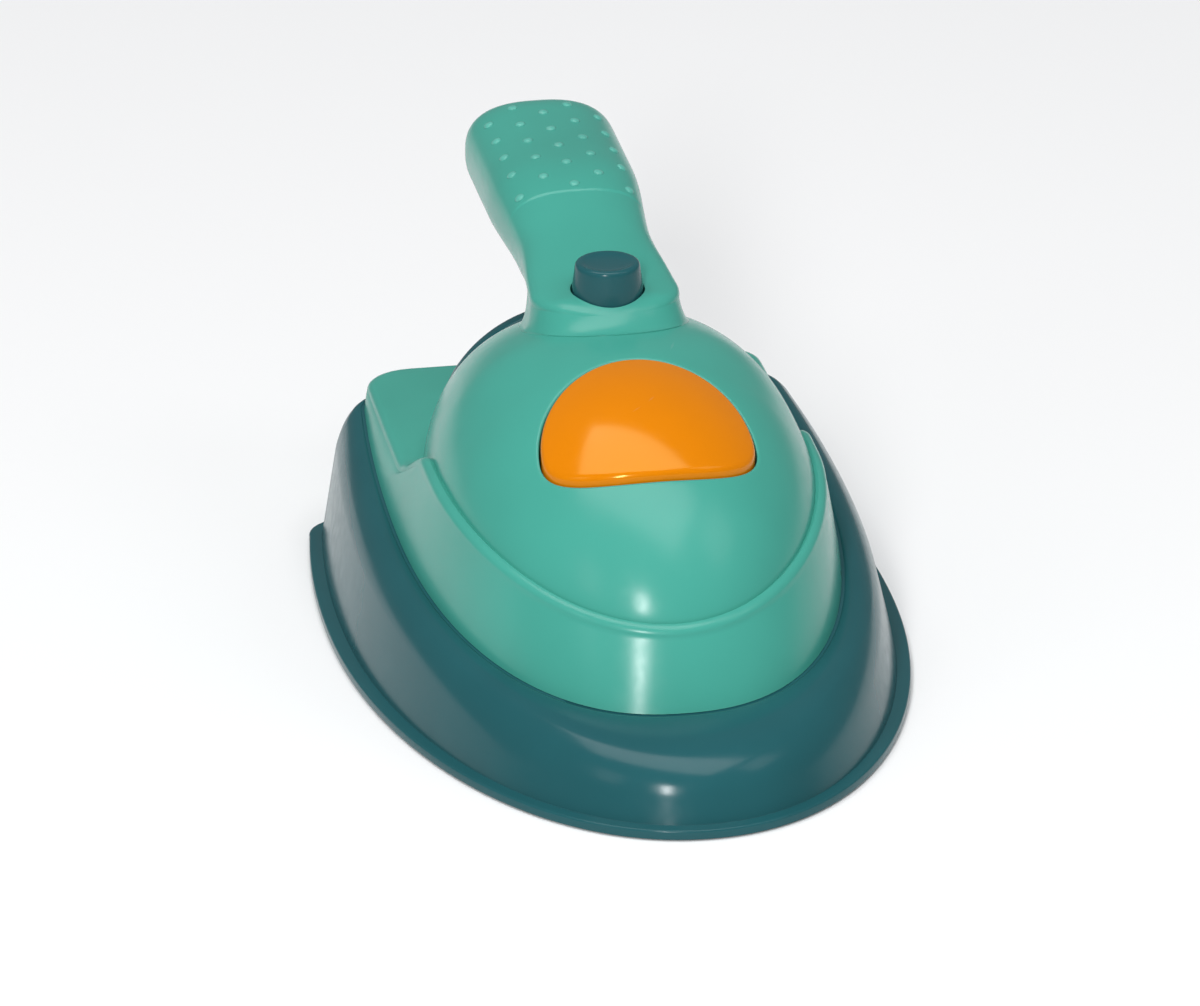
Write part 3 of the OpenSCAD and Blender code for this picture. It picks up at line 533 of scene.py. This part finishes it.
for x, y in ROOT_SCREWS:
    carve(seat, rod(SCREW_HOLE_D, TOOL_LOW, TOOL_HIGH, x, y))
posts = [rod(POST_D, SEAT_Z - POST_SUNK, POST_TOP, side * POST_X, KNOB_Y, 24) for side in (-1, 1)]
body = joined([body, seat] + posts)
outward(body)
dress(body, light_plastic, "iron", "teal_plastic", "body_shell")


# Heel cap: a dark moulded arch that closes the flat back of the dome, standing on the ledge.
# Its rim stands proud of the dome all round and shows as a dark crescent; two screws hold it from behind.
HEEL_T, HEEL_RIM, HEEL_EDGE, HEEL_FOOT, HEEL_SHY, HEEL_STEPS = 3.6, 3.0, 0.9, 0.3, 0.999, 96
HEEL_BORE_IN, HEEL_BORE_OUT, HEAD_BORE_OUT = -2.0, 6.0, 9.0
HEEL_SCREWS = [(-14.0, 39.4), (14.0, 39.4)]
HEAD_D, HEAD_H, HEAD_PLAY = 5.0, 1.6, 0.4
HEEL_HALF_W = DOME_W * sqrt(1 - ((HEEL_Y - DOME_Y) / DOME_TAIL) ** 2)
heel_line = []
for i in range(HEEL_STEPS + 1):
    t = -pi / 2 + pi * i / HEEL_STEPS
    x = HEEL_HALF_W * sin(t) * HEEL_SHY
    heel_line.append(((HEEL_HALF_W + HEEL_RIM) * sin(t), dome_z(x, HEEL_Y) + HEEL_RIM * cos(t)))
heel_line = [(x, z) for x, z in heel_line if z > LEDGE_Z + HEEL_FOOT]
heel_line = [(heel_line[0][0], LEDGE_Z)] + heel_line + [(heel_line[-1][0], LEDGE_Z)]
heel = plate("heel", [point(x, HEEL_Y, z) for x, z in heel_line], (0, HEEL_T * MM, 0), HEEL_EDGE,
             lambda a, b: abs(a.y - b.y) < TINY and max(a.z, b.z) > LEDGE_Z * MM + TINY)
for x, z in HEEL_SCREWS:
    for d, low, high in ((HEAD_D + HEAD_PLAY, HEEL_T - HEAD_H, HEAD_BORE_OUT),
                         (SCREW_HOLE_D, HEEL_BORE_IN, HEEL_BORE_OUT)):
        bpy.ops.object.select_all(action="DESELECT")
        bpy.ops.mesh.primitive_cylinder_add(vertices=40, radius=d / 2 * MM, depth=(high - low) * MM,
                                            location=point(x, HEEL_Y + (low + high) / 2, z), rotation=(pi / 2, 0, 0))
        carve(heel, added("heel_bore"))
outward(heel)
dress(heel, dark_plastic, "iron", "dark_plastic", "heel_cap")


# Handle shell: a light teal grip, screwed from inside onto the dome, that ends free over the back. Its root flares
# out onto the dome and runs down in a ramp before the knob; it narrows to a waist and widens to the grip, which
# starts at a fine step.
ROOT_TOP, GRIP_TOP, RISE_FROM, RISE_LONG = 69.7, 78.0, -2.0, 52.0
FRONT_DROP, FRONT_LONG = 2.6, 7.0
UNDER_Z, ROOT_UP, UNDER_FROM, UNDER_LONG = 59.0, 3.8, 12.0, 16.0
HANDLE_END, END_ROUND, END_POWER, END_W, END_H, END_LEAST = 85.0, 11.0, 4.0, 0.8, 0.72, 0.0004
HANDLE_POWER, HANDLE_SIDES, CLOSE_L = 2.6, 96, 10.0
GRIP_STEP_Y, GRIP_STEP, GRIP_STEP_L = 35.5, 0.3, 0.6
FLARE_OUT, FLARE_STEPS, FLARE_SHY, ROOT_STEP = 1.8, 12, 0.08, 0.2
RAMP_OUT, RAMP_TUCK, RAMP_SUNK, RAMP_BEND = 4.1, 0.4, 0.1, 1.7
CORE_IN, CORE_LOW, FOOT_LOW, ROOT_IN, ROOT_SHARE = 1.2, 1.6, 1.2, 0.5, 0.9
ROOT_MID_Y, ROOT_LOW_Z, ROOT_HIGH_Z = 1.5, 60.0, 65.5
KNOB_HOLE_D, KNOB_ROOM_D, KNOB_ROOM_TOP, KNOB_SIDES = 14.5, 15.2, 67.75, 72
LUG_ROOM_W, LUG_ROOM_L, LUG_ROOM_H, ROOT_PLAY = 20.0, 6.0, 16.0, 0.2
COVER_FRONT, COVER_BACK, COVER_W, COVER_R, COVER_T, COVER_Z, COVER_GAP = 24.0, 76.0, 16.8, 5.0, 2.0, 59.1, 0.2
COVER_TURNS = 8


def handle_section(y):
    """Middle height, half height and half width of the handle's cross section."""
    u = max(y - HANDLE_END + END_ROUND, 0.0) / END_ROUND
    share = max(1 - u ** END_POWER, END_LEAST) ** (1 / END_POWER)
    front = max(ROOT_Y - y, 0.0) / (ROOT_Y - HANDLE_FRONT)
    drop = FRONT_DROP * max(1 - (y - HANDLE_FRONT) / FRONT_LONG, 0.0) ** 2
    top = mix(ROOT_TOP, GRIP_TOP, ease((y - RISE_FROM) / RISE_LONG)) - drop
    under = UNDER_Z + mix(ROOT_UP, 0.0, ease((y - UNDER_FROM) / UNDER_LONG))
    half_w = handle_half_w(y) * mix(1, share, END_W) * sqrt(max(1 - front * front, END_LEAST))
    return (top + under) / 2, (top - under) / 2 * mix(1, share, END_H), half_w


def handle_ring(y, shrink=1.0):
    """One cross section of the handle, a superellipse with the grip's step in its upper half."""
    middle, half_h, half_w = handle_section(y)
    ring = []
    for i in range(HANDLE_SIDES):
        t = 2 * pi * (i + 0.5) / HANDLE_SIDES
        c, s = cos(t), sin(t)
        x = half_w * shrink * abs(c) ** (2 / HANDLE_POWER) * (1 if c > 0 else -1)
        z = middle + half_h * shrink * abs(s) ** (2 / HANDLE_POWER) * (1 if s > 0 else -1)
        if s > 0:
            z += GRIP_STEP * s * (ease((y - GRIP_STEP_Y) / GRIP_STEP_L + 0.5) - 1)
        ring.append((x, y, z))
    return ring


def grip_z(x, y):
    """Height of the handle's upper face."""
    middle, half_h, half_w = handle_section(y)
    return middle + half_h * max(1 - (abs(x) / half_w) ** HANDLE_POWER, 0.0) ** (1 / HANDLE_POWER)


def root_ring(turn, inset, lift):
    """One ring of the flare: turn 0 is its foot on the dome and 1 its top on the handle's wall or nose."""
    ring = []
    for x, y, across, along in root_line():
        front = max(-along, 0.0)
        ramp = min(2 * front, 1.0)
        tuck = RAMP_TUCK * ramp
        px, py = x - across * tuck, y - along * tuck
        top = grip_z(px, py) if along < 0 else handle_section(y)[0]
        climb = mix(1 - cos(pi / 2 * turn), turn ** mix(1.0, RAMP_BEND, front ** 4), ramp)
        rise = (top - dome_z(px, py) - RAMP_SUNK * ramp) * climb
        reach = mix(FLARE_OUT, RAMP_OUT, front ** 3)
        out = reach * (1 - mix(sin(pi / 2 * turn), turn, ramp)) - tuck * turn - inset
        px, py = x + across * out, y + along * out
        ring.append((px, py, dome_z(px, py) + lift + rise))
    return ring


def round_plan(w, front, back, r):
    """Rectangle with round corners, from above."""
    corners = []
    for cx, cy, start in ((w / 2 - r, back - r, 0), (r - w / 2, back - r, 90), (r - w / 2, front + r, 180),
                          (w / 2 - r, front + r, 270)):
        for i in range(COVER_TURNS + 1):
            a = radians(start + 90 * i / COVER_TURNS)
            corners.append((cx + r * cos(a), cy + r * sin(a)))
    return corners


# Stations along the handle, close together at both ends and at the grip's step.
handle_ys = [HANDLE_FRONT + CLOSE_L * (1 - cos(pi / 2 * i / 24)) for i in range(24)]
handle_ys += [HANDLE_FRONT + CLOSE_L + 1.25 * i for i in range(27)]
handle_ys += [GRIP_STEP_Y - 0.9 + 0.2 * i for i in range(11)]
handle_ys += [GRIP_STEP_Y + 2.0 + 1.34 * i for i in range(28)]
handle_ys += [HANDLE_END - CLOSE_L + CLOSE_L * sin(pi / 2 * i / 16) for i in range(17)]
handle_rows = [handle_ring(HANDLE_FRONT, s) for s in (0.0, 0.5, 0.9)] + [handle_ring(y) for y in handle_ys]
handle_rows += [handle_ring(HANDLE_END, s) for s in (0.92, 0.75, 0.5, 0.25, 0.0)]
handle = skin("handle", handle_rows, False)

root_rows = [hub(ROOT_MID_Y, ROOT_LOW_Z), root_ring(0.0, FLARE_OUT + CORE_IN, -CORE_LOW),
             root_ring(0.0, FLARE_SHY, -FOOT_LOW)]
for i in range(FLARE_STEPS + 1):
    root_rows.append(root_ring(i / FLARE_STEPS, FLARE_SHY, ROOT_STEP * (1 - i / FLARE_STEPS)))
root_rows.append([(x * ROOT_SHARE, mix(ROOT_MID_Y, y, ROOT_SHARE), ROOT_HIGH_Z)
                  for x, y, z in root_ring(1.0, ROOT_IN, 0.0)])
root = skin("root", root_rows + [hub(ROOT_MID_Y, ROOT_HIGH_Z)], False)

for piece, play in ((handle, 0.0), (root, ROOT_PLAY)):
    carve(piece, rod(KNOB_HOLE_D + play, KNOB_ROOM_TOP - CUT_PAST, TOOL_HIGH, 0, KNOB_Y, KNOB_SIDES))
    carve(piece, rod(KNOB_ROOM_D + play, TOOL_LOW, KNOB_ROOM_TOP, 0, KNOB_Y, KNOB_SIDES))
    bpy.ops.object.select_all(action="DESELECT")
    bpy.ops.mesh.primitive_cube_add(
        size=1, location=point(0, KNOB_Y, KNOB_ROOM_TOP - LUG_ROOM_H / 2),
        scale=((LUG_ROOM_W + play) * MM, (LUG_ROOM_L + play) * MM, (LUG_ROOM_H - play) * MM))
    carve(piece, added("lug_room"))
cover_seat = round_plan(COVER_W + 2 * COVER_GAP, COVER_FRONT - COVER_GAP, COVER_BACK + COVER_GAP, COVER_R + COVER_GAP)
carve(handle, plate("cover_seat", [point(x, y, TOOL_LOW) for x, y in cover_seat],
                    (0, 0, (COVER_Z + COVER_T - TOOL_LOW) * MM), 0, lambda a, b: False))
handle = joined([handle, root])
outward(handle)
dress(handle, light_plastic, "iron", "teal_plastic", "handle_shell")


# Grip dots: low round bumps moulded on the top of the grip, every second row set off by nearly half a pitch.
# Their plastic is painted paler than the handle's: a painted highlight for the light that the raised dots catch.
DOT_D, DOT_H, DOT_SUNK, DOT_ACROSS, DOT_ALONG, DOT_FIRST = 2.1, 0.5, 0.05, 5.45, 9.0, 37.8
DOT_ROWS, DOT_SHIFT, DOT_FEEL = 5, 0.45, 0.3
# Paler teal of the dots is a painted highlight.
DOT_HIGHLIGHT_TEAL = (0.105, 0.425, 0.350)
dot_highlight_plastic = mould_finish("dot_highlight_plastic", DOT_HIGHLIGHT_TEAL, 0.21, 0.05, 0.28)
bpy.ops.object.select_all(action="DESELECT")
bpy.ops.mesh.primitive_uv_sphere_add(segments=20, ring_count=10, radius=1.0)
dot = added("dot")
bpy.ops.object.shade_smooth()
copies = []
for column in range(-2, 3):
    for row in range(DOT_ROWS):
        x, y = DOT_ACROSS * column, DOT_FIRST + DOT_ALONG * (row + DOT_SHIFT * (column % 2))
        up = Vector((grip_z(x - DOT_FEEL, y) - grip_z(x + DOT_FEEL, y),
                     grip_z(x, y - DOT_FEEL) - grip_z(x, y + DOT_FEEL), 2 * DOT_FEEL)).normalized()
        along = up.cross(Vector((1, 0, 0))).normalized()
        across = along.cross(up)
        seat_at = Vector((x, y, grip_z(x, y)))
        take(dot)
        bpy.ops.object.duplicate()
        for vertex in bpy.context.object.data.vertices:
            c = vertex.co.copy()
            place = seat_at + (across * c.x + along * c.y) * DOT_D / 2 + up * (c.z * DOT_H - DOT_SUNK)
            vertex.co = point(*place)
        copies.append(bpy.context.object)
bpy.data.objects.remove(dot)
dots = joined(copies)
dots.name = dots.data.name = "grip_dots"
dress(dots, dot_highlight_plastic, "iron", "teal_plastic")


# Handle cover: a long light teal lid let into the underside of the handle, held by two screws.
# It closes the hollow that the mould leaves in the grip.
COVER_SCREWS = [31.0, 69.0]
COVER_WEB, COVER_EDGE = 0.8, 0.4
cover = plate("cover", [point(x, y, COVER_Z) for x, y in round_plan(COVER_W, COVER_FRONT, COVER_BACK, COVER_R)],
              (0, 0, COVER_T * MM), COVER_EDGE, lambda a, b: max(a.z, b.z) < COVER_Z * MM + TINY)
for y in COVER_SCREWS:
    carve(cover, rod(HEAD_D + HEAD_PLAY, TOOL_LOW, COVER_Z + COVER_T - COVER_WEB, 0, y))
    carve(cover, rod(SCREW_HOLE_D, TOOL_LOW, TOOL_HIGH, 0, y))
outward(cover)
dress(cover, light_plastic, "iron", "teal_plastic", "handle_cover")


# Steam button: an arched orange moulding that fills the opening in the dome and follows its curve.
# It slides straight down; the flange below is its stop under the collar, and the stem guides it in the bracket.
ORANGE = (0.715, 0.210, 0.0005)
ORANGE_SHEEN = (1.0, 0.93, 0.35, 1)
BUTTON_GAP, PROUD_FRONT, PROUD_BACK, BUTTON_CROWN, BUTTON_EDGE = 0.35, 1.1, 0.35, 0.8, 0.8
FLANGE_Z, FLANGE_T = 42.05, 1.7
STEM_D, STEAM_STEM_LOW, STEAM_STEM_LAP, BRACKET_Y = 6.0, 28.6, 0.4, -42.33
STEAM_SIDES, STEAM_RINGS, EDGE_STEPS, STEAM_MID, STEAM_WAY = 120, 18, 6, 3.0, 16.0
orange_plastic = mould_finish("orange_plastic", ORANGE, 0.15, 0.03, 0.40)
orange_plastic.node_tree.nodes["Principled BSDF"].inputs["Specular Tint"].default_value = ORANGE_SHEEN


def steam_ring(grow, z=None):
    """Ring along the steam opening's outline, grown outwards."""
    ring = []
    for i in range(STEAM_SIDES):
        t = 2 * pi * i / STEAM_SIDES
        x, y = steam_edge(sin(t) * STEAM_W / 2, STEAM_Y - cos(t) * STEAM_WAY, grow)
        ring.append((x, y, z))
    return ring


def steam_top(share, drop, inset=0.0):
    """Ring on the button's crowned top, at a share of the way from its middle to its edge."""
    ring = []
    for x, y, z in steam_ring(-BUTTON_GAP - inset):
        px, py = x * share, mix(STEAM_Y + STEAM_MID, y, share)
        proud = mix(PROUD_FRONT, PROUD_BACK, ease((py - STEAM_Y + STEAM_FRONT) / (STEAM_FRONT + STEAM_BACK)))
        ring.append((px, py, dome_z(px, py) + proud - drop + BUTTON_CROWN * (1 - share * share)))
    return ring


steam_rows = [[(0.0, STEAM_Y, FLANGE_Z)] * STEAM_SIDES, steam_ring(COLLAR_WALL, FLANGE_Z),
              steam_ring(COLLAR_WALL, FLANGE_Z + FLANGE_T), steam_ring(-BUTTON_GAP, FLANGE_Z + FLANGE_T)]
for i in range(EDGE_STEPS + 1):
    a = pi / 2 * i / EDGE_STEPS
    steam_rows.append(steam_top(1.0, BUTTON_EDGE * (1 - sin(a)), BUTTON_EDGE * (1 - cos(a))))
steam_rows += [steam_top(1 - i / STEAM_RINGS, 0.0, BUTTON_EDGE) for i in range(1, STEAM_RINGS)]
steam = skin("steam", steam_rows + [steam_top(0.0, 0.0)], False)
steam = joined([steam, rod(STEM_D, STEAM_STEM_LOW, FLANGE_Z + STEAM_STEM_LAP, 0, BRACKET_Y)])
outward(steam)
dress(steam, orange_plastic, "steam_button", "orange_plastic", "steam_button")


# Handle button: a round dark knob with a dished top, sprung straight down into the handle's root.
# Two lugs under the handle's top keep it in, and its stem runs in the body.
KNOB_D, KNOB_STEM_LOW, KNOB_STEM_LAP = 13.8, 53.8, 0.5
LUG_Z, LUG_T, LUG_W, LUG_REACH, LUG_EDGE = 65.6, 1.8, 5.0, 2.6, 0.3
KNOB_WALL = [(0.0, LUG_Z), (KNOB_D / 2, LUG_Z), (KNOB_D / 2, 69.9), (6.72, 71.2), (6.5, 72.8), (6.36, 73.9)]
KNOB_ROUND = [(6.26, 74.35), (6.06, 74.68), (5.76, 74.86), (5.4, 74.9)]
KNOB_DISH = [(5.0, 74.86), (4.6, 74.72), (4.1, 74.58), (3.0, 74.47), (1.5, 74.42), (0.0, 74.4)]
knob_ways = [2 * pi * i / KNOB_SIDES for i in range(KNOB_SIDES)]
knob = skin("knob", [[(r * cos(t), KNOB_Y + r * sin(t), z) for t in knob_ways]
                     for r, z in KNOB_WALL + KNOB_ROUND + KNOB_DISH], False)
bpy.ops.object.select_all(action="DESELECT")
bpy.ops.mesh.primitive_cube_add(size=1, location=point(0, KNOB_Y, LUG_Z + LUG_T / 2),
                                scale=((KNOB_D + 2 * LUG_REACH) * MM, LUG_W * MM, LUG_T * MM))
lugs = added("lugs")
bpy.ops.object.modifier_add(type="BEVEL")
lugs.modifiers[-1].width = LUG_EDGE * MM
lugs.modifiers[-1].segments = 2
bpy.ops.object.modifier_apply(modifier=lugs.modifiers[-1].name)
knob = joined([knob, lugs, rod(STEM_D, KNOB_STEM_LOW, LUG_Z + KNOB_STEM_LAP, 0, KNOB_Y)])
outward(knob)
dress(knob, dark_plastic, "handle_button", "dark_plastic", "handle_button")


# Button springs: coils of drawn steel wire with open ends, one under each button.
# Each stands on its seat round the stem; it is built at its rest length, and nothing here shortens it as its button
# goes down.
COIL_D, WIRE_D, CURLS, CURL_STEPS, WIRE_SIDES = 8.4, 0.8, 5, 32, 12
STEAM_SPRING_LOW, STEAM_SPRING_TOP, STEAM_TRAVEL = 32.1, 42.0, 2.0
KNOB_SPRING_LOW, KNOB_SPRING_TOP, KNOB_TRAVEL = 57.35, 65.55, 2.5
spring_steel = bpy.data.materials.new("spring_steel")
spring_steel.use_nodes = True
steel_nodes, steel_links = spring_steel.node_tree.nodes, spring_steel.node_tree.links
steel_shader = steel_nodes["Principled BSDF"]
steel_shader.inputs["Metallic"].default_value = 1.0
steel_shader.inputs["Base Color"].default_value = (0.56, 0.56, 0.58, 1)
steel_place = steel_nodes.new("ShaderNodeTexCoord")
steel_grain = steel_nodes.new("ShaderNodeTexNoise")
steel_grain.inputs["Scale"].default_value = 1500.0
steel_links.new(steel_place.outputs["Object"], steel_grain.inputs["Vector"])
steel_rule = steel_nodes.new("ShaderNodeMapRange")
steel_rule.inputs["To Min"].default_value = 0.22
steel_rule.inputs["To Max"].default_value = 0.42
steel_links.new(steel_grain.outputs["Fac"], steel_rule.inputs["Value"])
steel_links.new(steel_rule.outputs["Result"], steel_shader.inputs["Roughness"])


def coil(name, y, low, high):
    """One unbroken helix of round wire between two heights."""
    rise = high - low - WIRE_D
    lean = atan2(rise / CURLS, pi * COIL_D)
    count = CURLS * CURL_STEPS
    rows = []
    for i in range(count + 1):
        t = 2 * pi * i / CURL_STEPS
        z = low + WIRE_D / 2 + rise * i / count
        ring = []
        for j in range(WIRE_SIDES):
            a = -2 * pi * j / WIRE_SIDES
            r, b = (COIL_D + WIRE_D * cos(a)) / 2, WIRE_D / 2 * sin(a)
            ring.append((r * cos(t) + b * sin(lean) * sin(t), y + r * sin(t) - b * sin(lean) * cos(t),
                         z + b * cos(lean)))
        rows.append(ring)
    ends = [tuple(sum(p[k] for p in ring) / WIRE_SIDES for k in range(3)) for ring in (rows[0], rows[-1])]
    return skin(name, [[ends[0]] * WIRE_SIDES] + rows + [[ends[1]] * WIRE_SIDES], False)


for name, node, y, low, high, joint, travel in (
        ("steam_coil", "steam_spring", BRACKET_Y, STEAM_SPRING_LOW, STEAM_SPRING_TOP, "steam_press", STEAM_TRAVEL),
        ("knob_coil", "handle_spring", KNOB_Y, KNOB_SPRING_LOW, KNOB_SPRING_TOP, "handle_press", KNOB_TRAVEL)):
    wire = coil(name, y, low, high)
    dress(wire, spring_steel, "iron", "spring_steel", node)
    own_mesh(wire)


# Spring bracket: a light teal bar screwed under the dome, with a bore for the steam button's stem.
# Its two posts stop the button at the end of its travel. The node's own shape is kept.
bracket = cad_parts["spring_bracket"]
bracket.data.materials.clear()
bracket.data.materials.append(light_plastic)


# Screws: zinc-plated pan-head screws with a cross recess, driven into plain bosses.
# One is modelled and copied to every place; each group of like screws is one piece.
SCREW_D, HEAD_EDGE, SCREW_SIDES, HEAD_STEPS = 2.6, 0.5, 28, 4
CROSS_L, CROSS_W, CROSS_DEEP = 2.9, 0.62, 0.9
THREAD_PITCH, THREAD_FROM, THREAD_SHORT, THREAD_DEEP, THREAD_ROOT, THREAD_FLANK = 1.1, 0.4, 1.6, 0.28, 0.55, 0.82
TIP_L, TIP_IN = 0.9, 0.3
ROOT_SCREW_Z, BRACKET_SCREW_X, BRACKET_SCREW_Z = 54.8, 26.9, 29.55
screw_steel = spring_steel.copy()
screw_steel.name = "screw_steel"
screw_steel.node_tree.nodes["Principled BSDF"].inputs["Base Color"].default_value = (0.48, 0.49, 0.52, 1)


def screw(length):
    """One screw at the origin, head below and shank upwards."""
    shank, line = SCREW_D / 2, [(0.0, -HEAD_H)]
    for i in range(HEAD_STEPS + 1):
        a = pi / 2 * i / HEAD_STEPS
        line.append((HEAD_D / 2 - HEAD_EDGE + HEAD_EDGE * sin(a), -HEAD_H + HEAD_EDGE * (1 - cos(a))))
    line += [(HEAD_D / 2, 0.0), (shank, 0.0)]
    for i in range(int((length - THREAD_SHORT) / THREAD_PITCH)):
        z = THREAD_FROM + THREAD_PITCH * i
        line += [(shank - THREAD_DEEP, z), (shank - THREAD_DEEP, z + THREAD_ROOT), (shank, z + THREAD_FLANK)]
    line += [(shank - TIP_IN, length - TIP_L), (0.0, length)]
    ways = [2 * pi * i / SCREW_SIDES for i in range(SCREW_SIDES)]
    piece = skin("screw", [[(r * cos(t), r * sin(t) - STATION_Y, z) for t in ways] for r, z in line], False)
    for across, along in ((CROSS_L, CROSS_W), (CROSS_W, CROSS_L)):
        bpy.ops.object.select_all(action="DESELECT")
        bpy.ops.mesh.primitive_cube_add(size=1, location=(0, 0, -HEAD_H * MM),
                                        scale=(across * MM, along * MM, 2 * CROSS_DEEP * MM))
        carve(piece, added("cross"))
    outward(piece)
    return piece


def screws(name, node, length, places, turned=False):
    """Copies of one screw, each at its place; turned screws point their shank to the nose."""
    first = screw(length)
    group = []
    for x, y, z in places:
        take(first)
        bpy.ops.object.duplicate()
        copy = bpy.context.object
        for vertex in copy.data.vertices:
            c = vertex.co.copy()
            vertex.co = point(x, y, z) + (Vector((c.x, -c.z, c.y)) if turned else c)
        group.append(copy)
    bpy.data.objects.remove(first)
    piece = joined(group)
    piece.name = piece.data.name = name
    outward(piece)
    dress(piece, screw_steel, "iron", "screw_steel", node)


screws("sole_fixings", "sole_screws", 12.2, [(x, y, HEAD_SUNK) for x, y in SOLE_SCREWS])
screws("heel_fixings", "heel_screws", 8.6, [(x, HEEL_Y + HEEL_T - HEAD_H, z) for x, z in HEEL_SCREWS], turned=True)
screws("root_fixings", "handle_screws", 9.5, [(x, y, ROOT_SCREW_Z) for x, y in ROOT_SCREWS])
screws("cover_fixings", "cover_screws", 6.8, [(0.0, y, COVER_Z + COVER_T - COVER_WEB) for y in COVER_SCREWS])
screws("bracket_fixings", "bracket_screws", 8.5,
       [(side * BRACKET_SCREW_X, BRACKET_Y, BRACKET_SCREW_Z) for side in (-1, 1)])


# Studio: a plain pale floor that runs out of view, four soft lamps and a pale surround.
# The floor glows faintly where it is seen straight or in a reflection, so it stays near white and keeps the shadow.
FLOOR_COLOUR, FLOOR_LIFT, FLOOR_SIZE, FLOOR_DROP = (0.88, 0.882, 0.885), 0.08, 14.0, 0.0002
SKY_COLOUR, SKY_STRENGTH = (0.95, 0.97, 1.0, 1), 0.22
bpy.ops.object.select_all(action="DESELECT")
bpy.ops.mesh.primitive_plane_add(size=FLOOR_SIZE, location=(0, 0, -FLOOR_DROP))
floor = added("floor")
floor_paint = bpy.data.materials.new("floor_paint")
floor_paint.use_nodes = True
floor_nodes, floor_links = floor_paint.node_tree.nodes, floor_paint.node_tree.links
floor_shader = floor_nodes["Principled BSDF"]
floor_shader.inputs["Base Color"].default_value = FLOOR_COLOUR + (1,)
floor_shader.inputs["Roughness"].default_value = 0.75
floor_shader.inputs["Emission Color"].default_value = (1, 1, 1, 1)
ray = floor_nodes.new("ShaderNodeLightPath")
seen = ray.outputs["Is Camera Ray"]
for kind in ("Is Glossy Ray", "Is Transmission Ray"):
    either = floor_nodes.new("ShaderNodeMath")
    either.operation = "MAXIMUM"
    floor_links.new(seen, either.inputs[0])
    floor_links.new(ray.outputs[kind], either.inputs[1])
    seen = either.outputs["Value"]
lift = floor_nodes.new("ShaderNodeMath")
lift.operation = "MULTIPLY"
lift.inputs[1].default_value = FLOOR_LIFT
floor_links.new(seen, lift.inputs[0])
floor_links.new(lift.outputs["Value"], floor_shader.inputs["Emission Strength"])
floor.data.materials.append(floor_paint)

world = bpy.data.worlds.new("surround")
bpy.context.scene.world = world
world.use_nodes = True
sky = world.node_tree.nodes["Background"]
sky.inputs["Color"].default_value = SKY_COLOUR
sky.inputs["Strength"].default_value = SKY_STRENGTH
bpy.context.scene.view_settings.view_transform = "Standard"


def lamp(name, place, target, width, height, power):
    """A soft box that looks at a place on the iron; lengths in metres, power in watts."""
    bpy.ops.object.select_all(action="DESELECT")
    bpy.ops.object.light_add(type="AREA", location=place)
    light = bpy.context.object
    light.name = light.data.name = name
    light.data.shape = "RECTANGLE"
    light.data.size, light.data.size_y = width, height
    light.data.energy = power
    light.rotation_euler = (Vector(place) - Vector(target)).to_track_quat("Z", "Y").to_euler()


lamp("top_box", (-0.10, -0.15, 1.75), (0, 0, 0.03), 1.9, 1.0, 22)
lamp("left_box", (-1.6, -0.9, 1.1), (0, 0, 0.03), 0.5, 0.7, 1.6)
lamp("right_box", (1.4, -0.6, 1.6), (0, 0, 0.03), 0.7, 0.7, 2.6)
lamp("nose_strip", (-0.55, -1.57, 0.92), (0, -0.06, 0.03), 0.20, 0.5, 17)


# Camera: at the photograph's place and height in front of the nose, with a long lens.
# Places are in metres, and the small roll is the photograph's own.
CAMERA_AT, LOOK_AT = Vector((-0.585, -3.387, 1.4359)), Vector((-0.004, 0.0, 0.030))
CAMERA_LENS, CAMERA_ROLL, CAMERA_FAR = 576.0, -0.39, 50.0
bpy.ops.object.camera_add(location=CAMERA_AT)
camera = bpy.context.object
camera.name = "camera"
camera.data.lens = CAMERA_LENS
camera.data.clip_end = CAMERA_FAR
camera.rotation_euler = (CAMERA_AT - LOOK_AT).to_track_quat("Z", "Y").to_euler()
camera.rotation_euler.rotate_axis("Z", radians(CAMERA_ROLL))
bpy.context.scene.camera = camera
